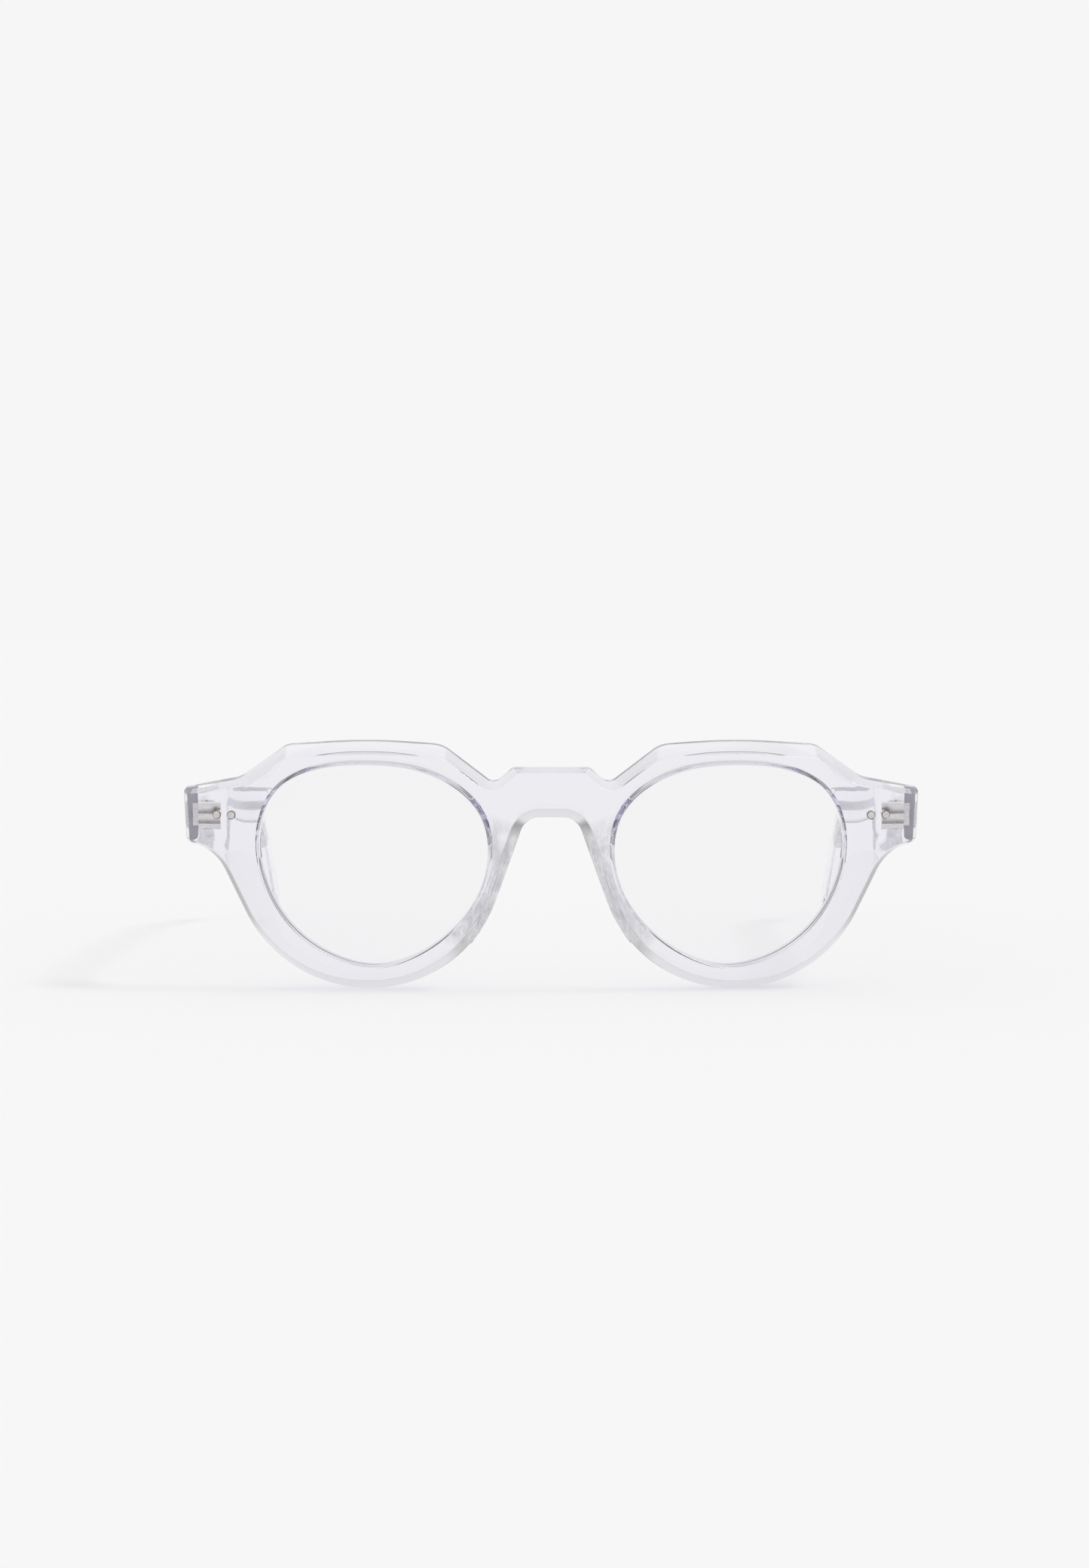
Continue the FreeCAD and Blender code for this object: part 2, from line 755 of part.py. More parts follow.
def screw_holes(name, side):
    """Return the bore and the head's recess that the hinge screw runs in."""
    bore = bound_cylinder(
        name + "_bore", side, "Places.screw_radius + Sizes.screw_clearance",
        "Places.stack_bottom - Sizes.barrel_height", "Places.stack_height + 2 * Sizes.barrel_height",
    )
    recess = bound_cylinder(
        name + "_recess", side, "Places.head_radius + Sizes.screw_clearance",
        "Places.stack_bottom + Places.stack_height - Sizes.screw_head_height - Sizes.screw_clearance",
        "Sizes.screw_head_height + Sizes.barrel_height",
    )
    return [bore, recess]


def front_leaf(name, side):
    """Build the front's hinge leaf: a plate with anchor teeth let into the lug, and the odd barrels."""
    pieces = [bound_box(
        name + "_plate", side, "Places.front_leaf_x", "Sizes.front_leaf_width",
        "Places.joint_y - Sizes.leaf_thickness", "Sizes.leaf_thickness",
        "Places.stack_bottom", "Places.stack_height",
    )]
    for index in range(0, BARREL_COUNT, 2):
        label = "%s_%d" % (name, index)
        pieces.append(bound_box(
            label + "_tooth", side, "Places.front_leaf_x", "Sizes.front_leaf_width",
            "Places.joint_y - Sizes.front_leaf_depth", "Sizes.front_leaf_depth",
            barrel_z(index), "Sizes.barrel_height",
        ))
        pieces.append(bound_box(
            label + "_web", side, "Places.barrel_inner_x", "Sizes.barrel_diameter",
            "Places.joint_y", "Places.axis_y - Places.joint_y",
            barrel_z(index), "Sizes.barrel_height",
        ))
        pieces.append(bound_cylinder(
            label + "_barrel", side, "Places.barrel_radius", barrel_z(index), "Sizes.barrel_height",
        ))
    return joined(name, pieces, screw_holes(name, side))


def temple_leaf(name, side):
    """Build the temple's hinge leaf: a plate let into the temple's inner face, and the even barrels."""
    pieces = [bound_box(
        name + "_plate", side, "Places.temple_inner_x", "Sizes.leaf_thickness",
        "Places.axis_y - Places.barrel_radius", "Sizes.temple_leaf_length",
        "Places.joint_z - Sizes.temple_leaf_height / 2", "Sizes.temple_leaf_height",
    )]
    for index in range(1, BARREL_COUNT, 2):
        label = "%s_%d" % (name, index)
        pieces.append(bound_box(
            label + "_web", side, "Places.axis_x", "Places.temple_inner_x - Places.axis_x",
            "Places.axis_y - Places.barrel_radius", "Sizes.barrel_diameter",
            barrel_z(index), "Sizes.barrel_height",
        ))
        pieces.append(bound_cylinder(
            label + "_barrel", side, "Places.barrel_radius", barrel_z(index), "Sizes.barrel_height",
        ))
    return joined(name, pieces, screw_holes(name, side))


# Turned pieces

def origin_feature(body, role):
    """Return one of a body's own origin planes or axes."""
    for feature in body.Origin.OriginFeatures:
        if feature.Role == role:
            return feature
    raise ValueError("no origin feature " + role)


def bound_sketch(body, name, plane, points):
    """Add a closed polygon to a body, each corner's coordinates bound to expressions."""
    sketch = body.newObject("Sketcher::SketchObject", name)
    sketch.AttachmentSupport = [(origin_feature(body, plane), "")]
    sketch.MapMode = "FlatFace"
    corners = []
    for x, y in points:
        corners.append(Vector(float(doc.Sizes.evalExpression(x)), float(doc.Sizes.evalExpression(y)), 0))
    count = len(corners)
    for i in range(count):
        sketch.addGeometry(Part.LineSegment(corners[i], corners[(i + 1) % count]), False)
    for i in range(count):
        sketch.addConstraint(Sketcher.Constraint("Coincident", i, 2, (i + 1) % count, 1))
    for i, (x, y) in enumerate(points):
        for kind, expression, value in (("DistanceX", x, corners[i].x), ("DistanceY", y, corners[i].y)):
            constraint = "%s%d" % (kind, i)
            index = sketch.addConstraint(Sketcher.Constraint(kind, i, 1, value))
            sketch.renameConstraint(index, constraint)
            sketch.setExpression("Constraints." + constraint, expression)
    return sketch


def turned_body(name, points):
    """Add a body turned about its own Z from a bound half profile."""
    body = doc.addObject("PartDesign::Body", name)
    profile = bound_sketch(body, name + "_profile", "XZ_Plane", points)
    turning = body.newObject("PartDesign::Revolution", name + "_turning")
    turning.Profile = profile
    turning.ReferenceAxis = (profile, ["V_Axis"])
    turning.Angle = 360
    doc.recompute()
    return body


def hinge_screw(name):
    """Build a hinge screw standing on its own origin: a plain shank, a cheese head and a slot."""
    shank = "Places.screw_radius"
    head = "Places.head_radius"
    top = "Places.stack_height"
    under = "(Places.stack_height - Sizes.screw_head_height)"
    profile = [("0", "0"), (shank, "0"), (shank, under), (head, under), (head, top), ("0", top)]
    body = turned_body(name, profile)
    half_slot = "Sizes.screw_slot_width / 2"
    floor = "Places.stack_height - Sizes.screw_slot_depth"
    over = "Places.stack_height + Sizes.screw_slot_depth"
    outline = [("-" + half_slot, floor), (half_slot, floor), (half_slot, over), ("-" + half_slot, over)]
    slot = body.newObject("PartDesign::Pocket", name + "_slot")
    slot.Profile = bound_sketch(body, name + "_slot_outline", "XZ_Plane", outline)
    slot.Type = "ThroughAll"
    slot.Midplane = True
    doc.recompute()
    return body


def trim_pin(name):
    """Build a trim pin standing on its own origin, with a small bevel round its shown end."""
    radius = "Places.pin_radius"
    length = "Sizes.pin_length"
    return turned_body(name, [
        ("0", "0"), (radius, "0"), (radius, length + " - Sizes.pin_edge"),
        (radius + " - Sizes.pin_edge", length), ("0", length),
    ])


def pin_placement(side, order):
    """Return where a trim pin stands in the front, square to its curved face."""
    x = half_width - size("pin_from_end") - order * size("pin_spacing")
    outward = Vector(x / size("wrap_radius"), front_face(x) / size("wrap_radius") - 1, 0)
    foot = Vector(x, front_face(x), joint_z + size("pin_rise")) - outward * size("pin_length")
    foot.x *= side
    outward.x *= side
    return FreeCAD.Placement(foot, FreeCAD.Rotation(Vector(0, 0, 1), outward))


# The front

def front(blank):
    """Return the front with its lens openings, hinge pockets and pin holes cut."""
    cutter = opening_cutter()
    slack = size("leaf_clearance")
    low = Vector(
        place("front_leaf_x") - slack,
        joint_y - size("front_leaf_depth") - slack,
        place("stack_bottom") - slack,
    )
    high = Vector(
        place("front_leaf_x") + size("front_leaf_width") + slack,
        joint_y + overrun,
        place("stack_bottom") + place("stack_height") + slack,
    )
    pocket = box_between(low, high)
    tools = []
    for _, side in SIDES:
        tools.append(mirror_to(cutter, side))
        tools.append(mirror_to(pocket, side))
        for order in range(len(PIN_NAMES)):
            radius = place("pin_radius") + size("pin_clearance")
            hole = Part.makeCylinder(radius, size("pin_length") + overrun)
            hole.Placement = pin_placement(side, order)
            tools.append(hole)
    return blank.cut(tools)


def resting_placement(shapes):
    """Lean the spectacles until rims and temple tips share a floor, over the middle of their outline."""
    tolerance = FACET_TOLERANCE_SHARE * front_height
    clouds = [shape.tessellate(tolerance)[0] for shape in shapes]
    lean = 0.0
    for _ in range(SETTLING_ROUNDS):
        lows = []
        for cloud in clouds:
            lows.append(min((p.z * math.cos(lean) + p.y * math.sin(lean), p.y) for p in cloud))
        (front_low, front_at), (tip_low, tip_at) = lows
        lean += math.atan((front_low - tip_low) / (tip_at - front_at))
    turn = FreeCAD.Rotation(Vector(1, 0, 0), math.degrees(lean))
    points = [turn.multVec(p) for cloud in clouds for p in cloud]
    floor = min(p.z for p in points)
    middle = (min(p.y for p in points) + max(p.y for p in points)) / 2
    return FreeCAD.Placement(Vector(0, -middle, -floor), turn)


def add_feature(name, shape):
    """Add a shape to the document as a feature of its own."""
    feature = doc.addObject("Part::Feature", name)
    feature.Shape = shape
    return feature


def build():
    """Build every node in the front's frame and stand the whole on its floor."""
    slab = front_plan()
    front_shape = front(front_walls().common(slab))
    temple_shape = temple()
    lens_shape = lens()
    pad_shape = nose_pad(slab)
    core_shape = core(0)
    nodes = {"frame_front": (add_feature("frame_front", front_shape), FreeCAD.Placement())}
    for word, side in SIDES:
        pieces = {
            "lens": lens_shape, "nose_pad": pad_shape, "temple": temple_shape, "temple_core": core_shape,
        }
        for kind, shape in pieces.items():
            name = "%s_%s" % (kind, word)
            nodes[name] = (add_feature(name, mirror_to(shape, side)), FreeCAD.Placement())
        name = "front_hinge_" + word
        nodes[name] = (front_leaf(name, side), FreeCAD.Placement())
        name = "temple_hinge_" + word
        nodes[name] = (temple_leaf(name, side), FreeCAD.Placement())
        name = "hinge_screw_" + word
        screw_foot = Vector(side * axis_x, axis_y, place("stack_bottom"))
        nodes[name] = (hinge_screw(name), FreeCAD.Placement(screw_foot, FreeCAD.Rotation()))
        for order, kind in enumerate(PIN_NAMES):
            name = "%s_%s" % (kind, word)
            nodes[name] = (trim_pin(name), pin_placement(side, order))
    stand = resting_placement([front_shape, temple_shape])
    for name, (feature, local) in nodes.items():
        feature.Label = name
        feature.Placement = stand.multiply(local)
    doc.recompute()
    return nodes, stand


def check_and_write(nodes):
    """Stop at any failed object or shape, then write one file per node."""
    for item in doc.Objects:
        if "Invalid" in item.State or "Error" in item.State:
            raise RuntimeError("%s failed: %s" % (item.Label, item.State))
    for name, (feature, _) in nodes.items():
        shape = feature.Shape
        if shape.isNull() or not shape.isValid() or len(shape.Solids) != 1:
            raise RuntimeError("%s has no sound solid" % name)
    os.makedirs("parts", exist_ok=True)
    for name, (feature, _) in nodes.items():
        feature.Shape.exportStep("parts/%s.step" % name)


nodes, stand = build()
check_and_write(nodes)
for name, (feature, _) in nodes.items():
    box = feature.Shape.BoundBox
    print("%-22s volume %9.2f  x %7.2f %7.2f  y %7.2f %7.2f  z %7.2f %7.2f" % (
        name, feature.Shape.Volume, box.XMin, box.XMax, box.YMin, box.YMax, box.ZMin, box.ZMax))
for word, side in SIDES:
    point = stand.multVec(Vector(side * axis_x, axis_y, joint_z))
    print("hinge axis", word, [round(value, 3) for value in point])
print("hinge direction", [round(value, 5) for value in stand.Rotation.multVec(Vector(0, 0, 1))])
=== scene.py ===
import json
import math

import bmesh
import bpy
import numpy as np
from mathutils import Matrix, Vector
from mathutils.geometry import delaunay_2d_cdt


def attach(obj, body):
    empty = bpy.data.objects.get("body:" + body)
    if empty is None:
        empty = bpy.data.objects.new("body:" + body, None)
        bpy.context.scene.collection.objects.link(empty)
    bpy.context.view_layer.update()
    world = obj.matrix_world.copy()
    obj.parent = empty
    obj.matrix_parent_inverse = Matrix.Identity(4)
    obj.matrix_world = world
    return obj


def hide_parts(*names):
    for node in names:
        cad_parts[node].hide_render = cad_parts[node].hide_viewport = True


# Round clear spectacles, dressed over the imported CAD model.
# Shapes are worked out in the front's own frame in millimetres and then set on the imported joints.

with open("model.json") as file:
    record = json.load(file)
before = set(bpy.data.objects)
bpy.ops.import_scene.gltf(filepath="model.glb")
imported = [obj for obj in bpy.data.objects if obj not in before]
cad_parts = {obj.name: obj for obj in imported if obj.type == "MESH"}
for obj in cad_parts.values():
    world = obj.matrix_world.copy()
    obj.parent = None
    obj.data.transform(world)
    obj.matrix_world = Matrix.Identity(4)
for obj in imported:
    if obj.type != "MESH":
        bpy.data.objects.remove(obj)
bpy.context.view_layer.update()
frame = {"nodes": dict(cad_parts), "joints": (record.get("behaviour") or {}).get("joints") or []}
nodes = frame["nodes"]

MM = 0.001

# The lens and its seat
LENS_WIDTH = 46.3
LENS_HEIGHT = 40.9
LENS_GAP = 23.4
LENS_THICKNESS = 2.0
LENS_CURVE_RADIUS = 132.5
LENS_SETBACK = 0.5
LENS_CLEARANCE = 0.08
GROOVE_DEPTH = 0.6

# The front
RIM_BELOW = 4.2
BROW_ABOVE = 3.9
END_REACH = 14.0
FRONT_THICKNESS = 6.0
WRAP_RADIUS = 350.0
BEVEL_WIDTH = 2.1
BEVEL_DEPTH = 3.4
LUG_WIDTH = 8.4
LUG_THICKNESS = 5.8
LUG_STEP = 12.0

# The nose pads
PAD_LENGTH = 21.0
PAD_DEPTH = 4.6
PAD_WIDTH = 3.3

# The temples
TEMPLE_LENGTH = 142.0
TEMPLE_HEIGHT = 10.0
TEMPLE_WAIST = 6.0
TEMPLE_TIP_HEIGHT = 6.8
TEMPLE_THICKNESS = 3.0
TEMPLE_TIP_THICKNESS = 2.8
TEMPLE_BEND_AT = 95.0
TEMPLE_BEND_RADIUS = 30.0
TEMPLE_BOW_START = 17.0
TEMPLE_BOW = 8.2
TEMPLE_INSET = 0.2
TEMPLE_LEAF_LENGTH = 10.5
TEMPLE_LEAF_HEIGHT = 4.4
JOINT_GAP = 0.1
PANTO = math.radians(6.7)
HOOK = math.radians(46.0)

# The hinge
BARREL_DIAMETER = 3.2
BARREL_GAP = 0.12
STACK_HEIGHT = 4.92
LEAF_THICKNESS = 1.0
LEAF_CLEARANCE = 0.05
FRONT_LEAF_WIDTH = 4.4
FRONT_LEAF_DEPTH = 3.2

# The pins
PIN_DIAMETER = 1.6
PIN_LENGTH = 1.5
PIN_SPACING = 2.9
PIN_FROM_END = 6.7
PIN_RISE = 0.7
PIN_CLEARANCE = 0.02
PIN_RING = 0.07
PIN_SINK = 0.03
PIN_CHAMFER = 0.10
PIN_RIM_DEPTH = 1.6 * PIN_CHAMFER
PIN_MIDDLE_SHARE = 0.5
PIN_SIDES = 64
PIN_HOLE_SIDES = 48
PIN_FACING = 0.97
PIN_BASES = ("outer_pin_", "inner_pin_")

# Outlines, as shares of half the lens's or the front's size; a corner's last share is its radius.
LENS_OUTLINE_SHARES = (
    (1.00, 0.17), (0.93, 0.52), (0.72, 0.775), (0.40, 0.945), (-0.04, 1.00), (-0.47, 0.95),
    (-0.80, 0.77), (-0.97, 0.45), (-1.00, 0.12), (-0.91, -0.29), (-0.68, -0.67), (-0.34, -0.92),
    (0.02, -1.00), (0.37, -0.88), (0.70, -0.61), (0.92, -0.26),
)
END_TOP_SHARE = 0.791
END_BOTTOM_SHARE = 0.575
FRONT_CORNER_SHARES = (
    (0.103, 0.891, 0.016),
    (0.154, 0.826, 0.043),
    (0.294, 0.983, 0.120),
    (0.499, 1.001, 2.350),
    (0.716, 0.974, 0.071),
    (0.843, 0.835, 0.126),
    (1.000, END_TOP_SHARE, 0.020),
    (0.994, END_BOTTOM_SHARE, 0.034),
    (0.916, 0.551, 0.190),
    (0.732, 0.000, 0.536),
    (0.237, 0.000, 0.540),
    (0.069, 0.694, 0.079),
)
BEVEL_WIDTH_SHARES = (0.45, 0.80, 1.00, 1.00, 0.75, 0.45, 0.42, 0.42, 0.60, 1.00, 1.00)
BEVEL_TOP_SHARE = 0.22
BEVEL_ARCH_SHARE = 1.00
PAD_TOP_SHARE = 0.12
PAD_SPLAY_SHARE = 0.42

lens_centre_x = (LENS_GAP + LENS_WIDTH) / 2
lens_centre_z = RIM_BELOW + LENS_HEIGHT / 2
half_width = lens_centre_x + LENS_WIDTH / 2 + END_REACH
front_height = RIM_BELOW + LENS_HEIGHT + BROW_ABOVE
end_setback = WRAP_RADIUS - math.sqrt(WRAP_RADIUS**2 - half_width**2)
joint_y = end_setback + LUG_THICKNESS
joint_z = front_height * (END_TOP_SHARE + END_BOTTOM_SHARE) / 2
temple_outer_x = half_width - TEMPLE_INSET
temple_inner_x = temple_outer_x - TEMPLE_THICKNESS
barrel_radius = BARREL_DIAMETER / 2
axis_x = temple_inner_x - barrel_radius - BARREL_GAP
axis_y = joint_y + barrel_radius + BARREL_GAP
lug_inner_x = half_width - LUG_WIDTH
lug_foot_x = lug_inner_x - LUG_STEP
front_leaf_x = temple_inner_x - FRONT_LEAF_WIDTH

# From the front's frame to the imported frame: the lean of the hinge axes and the place of the left one.
left_joint = next(j for j in frame["joints"] if j["name"] == "temple_fold_left")
axis = Vector(left_joint["axis"])
lean = math.atan2(-axis.y, axis.z)
turn = Matrix.Rotation(lean, 4, "X")
hinge_at = Vector(left_joint["pos_m"])
hinge_local = turn @ (Vector((axis_x, axis_y, joint_z)) * MM)
to_row = Matrix.Translation(hinge_at - hinge_local) @ turn @ Matrix.Scale(MM, 4)


def front_face(x):
    """How far the front face lies behind its middle."""
    return WRAP_RADIUS - np.sqrt(WRAP_RADIUS**2 - np.square(x))


def back_face(x):
    """Where the back of the front lies: a curve, then a smooth step out to the flat lugs."""
    ax = np.abs(x)
    back_radius = WRAP_RADIUS - FRONT_THICKNESS
    curved = WRAP_RADIUS - np.sqrt(back_radius**2 - np.square(np.minimum(ax, lug_foot_x)))
    foot_slope = lug_foot_x / math.sqrt(back_radius**2 - lug_foot_x**2) * LUG_STEP
    t = np.clip((ax - lug_foot_x) / LUG_STEP, 0, 1)
    return curved + (joint_y - curved) * t**2 * (3 - 2 * t) + foot_slope * t * (1 - t) ** 2


# Mesh helpers

SHARP_ANGLE = math.radians(38)


def new_object(name, data):
    """Make an object and put it in the scene."""
    thing = bpy.data.objects.new(name, data)
    bpy.context.scene.collection.objects.link(thing)
    return thing


class Shell:
    """Points and faces gathered before they become a mesh."""

    def __init__(self):
        self.points = []
        self.faces = []

    def add(self, points):
        first = sum(len(block) for block in self.points)
        block = np.asarray(points, float).reshape(-1, 3)
        self.points.append(block)
        return list(range(first, first + len(block)))

    def skin(self, rings):
        """Join closed rings of equally many points, one after another."""
        indices = [self.add(ring) for ring in rings]
        for first, second in zip(indices, indices[1:]):
            for i in range(len(first)):
                j = (i + 1) % len(first)
                self.faces.append((first[i], first[j], second[j], second[i]))
        return indices

    def build(self, name, matrix):
        mesh = bpy.data.meshes.new(name)
        mesh.from_pydata(np.concatenate(self.points).tolist(), [], self.faces)
        mesh.transform(matrix)
        made = bmesh.new()
        made.from_mesh(mesh)
        bmesh.ops.recalc_face_normals(made, faces=made.faces)
        made.to_mesh(mesh)
        made.free()
        return new_object(name, mesh)


def ring_body(name, rings, matrix=to_row):
    """A closed body from rings joined one after another, with a cap on each end."""
    shell = Shell()
    indices = shell.skin(rings)
    shell.faces += [tuple(indices[0]), tuple(indices[-1][::-1])]
    return shell.build(name, matrix)


def round_rings(profile, sides):
    """Rings about the Z axis, one for each radius and height of a profile."""
    angles = [2 * math.pi * k / sides for k in range(sides)]
    return [[(radius * math.cos(a), radius * math.sin(a), z) for a in angles] for radius, z in profile]


def crisp_normals(thing):
    """Smooth a mesh by area-weighted corner normals, and keep what turns more than the sharp angle."""
    mesh = thing.data
    mesh.shade_smooth()
    normals = np.zeros(len(mesh.polygons) * 3)
    mesh.polygons.foreach_get("normal", normals)
    normals = normals.reshape(-1, 3)
    areas = np.zeros(len(mesh.polygons))
    mesh.polygons.foreach_get("area", areas)
    weighted = normals * areas[:, None]
    around = [[] for _ in mesh.vertices]
    for polygon in mesh.polygons:
        for vertex in polygon.vertices:
            around[vertex].append(polygon.index)
    limit = math.cos(SHARP_ANGLE)
    corner_normals = []
    for polygon in mesh.polygons:
        own = normals[polygon.index]
        for vertex in polygon.vertices:
            close = [k for k in around[vertex] if normals[k] @ own > limit]
            total = weighted[close].sum(axis=0)
            length = math.sqrt(total @ total)
            corner_normals.append(tuple(total / length) if length > 0 else tuple(own))
    mesh.normals_split_custom_set(corner_normals)


def rounded_corner(before, corner, after, radius, segments):
    """Rows of points that round a corner of a profile, for arrays of corners."""
    into = before - corner
    away = after - corner
    into = into / np.linalg.norm(into, axis=1)[:, None] * radius
    away = away / np.linalg.norm(away, axis=1)[:, None] * radius
    shares = [k / segments for k in range(segments + 1)]
    return [corner + into * (1 - t) ** 2 + away * t**2 for t in shares]


def hermite(t, start, end, start_slope, end_slope):
    """A cubic from start to end as t goes from 0 to 1, with a slope given at each."""
    return (
        start * (2 * t**3 - 3 * t**2 + 1) + end * (3 * t**2 - 2 * t**3)
        + start_slope * (t**3 - 2 * t**2 + t) + end_slope * (t**3 - t**2)
    )


def combine(thing, tool, operation):
    """Join a closed tool mesh to a piece or take it out, and delete the tool."""
    modifier = thing.modifiers.new("combine", "BOOLEAN")
    modifier.operation = operation
    modifier.solver = "EXACT"
    modifier.object = tool
    depsgraph = bpy.context.evaluated_depsgraph_get()
    mesh = bpy.data.meshes.new_from_object(thing.evaluated_get(depsgraph))
    thing.modifiers.remove(modifier)
    thing.data = mesh
    bpy.data.objects.remove(tool)


def pocket(thing, side, x_range, y_range, half_height):
    """Cut a box round the hinge's height out of one side of a piece."""
    x0, x1 = sorted(side * x for x in x_range)
    z0, z1 = joint_z - half_height, joint_z + half_height
    rings = [[(x0, y, z0), (x1, y, z0), (x1, y, z1), (x0, y, z1)] for y in y_range]
    combine(thing, ring_body("tool", rings), "DIFFERENCE")


def inside(polygon, points):
    """Which points lie inside a closed polygon."""
    found = np.zeros(len(points), bool)
    x, z = points[:, 0], points[:, 1]
    previous = polygon[-1]
    for current in polygon:
        crosses = (current[1] > z) != (previous[1] > z)
        rise = previous[1] - current[1]
        if rise != 0:
            found ^= crosses & (x < (previous[0] - current[0]) * (z - current[1]) / rise + current[0])
        previous = current
    return found


# The front's outline

def front_corners():
    half = [(x * half_width, z * front_height, r * front_height) for x, z, r in FRONT_CORNER_SHARES]
    mirrored = [(-x, z, r) for x, z, r in reversed(half)]
    shares = list(BEVEL_WIDTH_SHARES) + [BEVEL_ARCH_SHARE]
    shares += list(reversed(BEVEL_WIDTH_SHARES)) + [BEVEL_TOP_SHARE]
    return half + mirrored, [share * BEVEL_WIDTH for share in shares]


def side_direction(corners, i):
    x, z, _ = corners[i % len(corners)]
    next_x, next_z, _ = corners[(i + 1) % len(corners)]
    direction = np.array([next_x - x, next_z - z])
    return direction / np.linalg.norm(direction)


def corner_sides(corners, i):
    """Directions from a corner back along its first side and ahead along its second."""
    return -side_direction(corners, i - 1), side_direction(corners, i)


LEAST_RADIUS_SHARE = 0.15
SIDE_SHARE = 0.995


def inset_corners(corners, widths):
    """Move each side of the clockwise outline inwards by its own width, and fit the corners' radii."""
    inset = []
    for i, (x, z, radius) in enumerate(corners):
        before = side_direction(corners, i - 1)
        after = side_direction(corners, i)
        turning = before[1] * after[0] - before[0] * after[1]
        along = (widths[i - 1] * before.dot(after) - widths[i]) / turning
        shift = np.array([before[1], -before[0]]) * widths[i - 1] + before * along
        mean_width = (widths[i - 1] + widths[i]) / 2
        if turning > 0:
            radius = max(radius - mean_width, LEAST_RADIUS_SHARE * radius)
        else:
            radius = radius + mean_width
        inset.append((x + shift[0], z + shift[1], radius))
    return inset


def fitted_radii(corners):
    """Limit the corners' radii to what the sides between them have room for."""
    reach = []
    for i in range(len(corners)):
        cosine = side_direction(corners, i - 1).dot(side_direction(corners, i))
        reach.append(math.tan(math.acos(np.clip(cosine, -1, 1)) / 2))
    radii = [radius for _, _, radius in corners]
    for i, (x, z, radius) in enumerate(corners):
        j = (i + 1) % len(corners)
        room = SIDE_SHARE * math.hypot(corners[j][0] - x, corners[j][1] - z)
        wanted = radius * reach[i] + corners[j][2] * reach[j]
        if wanted > room:
            radii[i] = min(radii[i], radius * room / wanted)
            radii[j] = min(radii[j], corners[j][2] * room / wanted)
    return [(x, z, radius) for (x, z, _), radius in zip(corners, radii)]


def outline_points(sharp_corners, counts):
    """Sample the rounded outline, an arc and then a straight for each corner."""
    corners = fitted_radii(sharp_corners)
    arcs = []
    for i, (x, z, radius) in enumerate(corners):
        back, ahead = corner_sides(corners, i)
        half_angle = math.acos(np.clip(back.dot(ahead), -1, 1)) / 2
        bisector = (back + ahead) / np.linalg.norm(back + ahead)
        corner = np.array([x, z])
        centre = corner + bisector * (radius / math.sin(half_angle))
        reach = radius / math.tan(half_angle)
        start = corner + back * reach - centre
        end = corner + ahead * reach - centre
        angle = math.pi - 2 * half_angle
        steps = counts[i][0]
        points = []
        for k in range(steps):
            part = angle * k / (steps - 1)
            points.append(centre + (start * math.sin(angle - part) + end * math.sin(part)) / math.sin(angle))
        arcs.append(points)
    points = []
    for i, arc in enumerate(arcs):
        points += arc
        following = arcs[(i + 1) % len(arcs)][0]
        steps = counts[i][1]
        for k in range(1, steps):
            points.append(arc[-1] + (following - arc[-1]) * (k / steps))
    return np.array(points)


ARC_TURN = 0.11
ARC_LENGTH_STEP = 1.2
ARC_LEAST = 5
STRAIGHT_STEP = 3.2
STRAIGHT_LEAST = 2


def outline_counts(corners):
    """How many samples each corner's arc and each side's straight take."""
    counts = []
    for i, (x, z, radius) in enumerate(corners):
        back, ahead = corner_sides(corners, i)
        turned = math.pi - math.acos(np.clip(back.dot(ahead), -1, 1))
        arc_steps = max(turned / ARC_TURN, turned * radius / ARC_LENGTH_STEP, ARC_LEAST)
        next_x, next_z, _ = corners[(i + 1) % len(corners)]
        straight_steps = max(math.hypot(next_x - x, next_z - z) / STRAIGHT_STEP, STRAIGHT_LEAST)
        counts.append((math.ceil(arc_steps), math.ceil(straight_steps)))
    return counts


# The lens openings

def lens_unit_outline(count):
    """Evenly spaced points of a smooth closed curve through the lens outline's shares."""
    shares = np.array([(-x, z) for x, z in LENS_OUTLINE_SHARES])
    n = len(shares)
    lengths = np.linalg.norm(np.roll(shares, -1, axis=0) - shares, axis=1)
    knots = np.concatenate([[0], np.cumsum(lengths)])
    # a periodic cubic spline: its slopes at the knots solve one linear system
    matrix = np.zeros((n, n))
    right = np.zeros((n, 2))
    for i in range(n):
        before, after = lengths[i - 1], lengths[i]
        matrix[i, i - 1] += after
        matrix[i, i] += 2 * (before + after)
        matrix[i, (i + 1) % n] += before
        rise_before = (shares[i] - shares[i - 1]) / before
        rise_after = (shares[(i + 1) % n] - shares[i]) / after
        right[i] = 3 * (after * rise_before + before * rise_after)
    slopes = np.linalg.solve(matrix, right)
    points = []
    for s in np.arange(count) / count * knots[-1]:
        i = min(int(np.searchsorted(knots, s, side="right")) - 1, n - 1)
        j = (i + 1) % n
        width = lengths[i]
        t = (s - knots[i]) / width
        points.append(hermite(t, shares[i], shares[j], slopes[i] * width, slopes[j] * width))
    return np.array(points)


LENS_SAMPLES = 176
unit_lens = lens_unit_outline(LENS_SAMPLES)
lens_tilt = math.asin(lens_centre_x / WRAP_RADIUS)


def lens_ring(side, grow, depth_at, scale=1.0):
    """A ring of the lens's outline, grown by a length and drawn in by a scale, on a surface."""
    across = unit_lens[:, 0] * (LENS_WIDTH / 2 + grow) * scale
    up = unit_lens[:, 1] * (LENS_HEIGHT / 2 + grow) * scale
    depth = depth_at(across, up)
    x = lens_centre_x + across * math.cos(lens_tilt) - depth * math.sin(lens_tilt)
    y = front_face(lens_centre_x) + across * math.sin(lens_tilt) + depth * math.cos(lens_tilt)
    return np.column_stack([x * side, y, lens_centre_z + up])


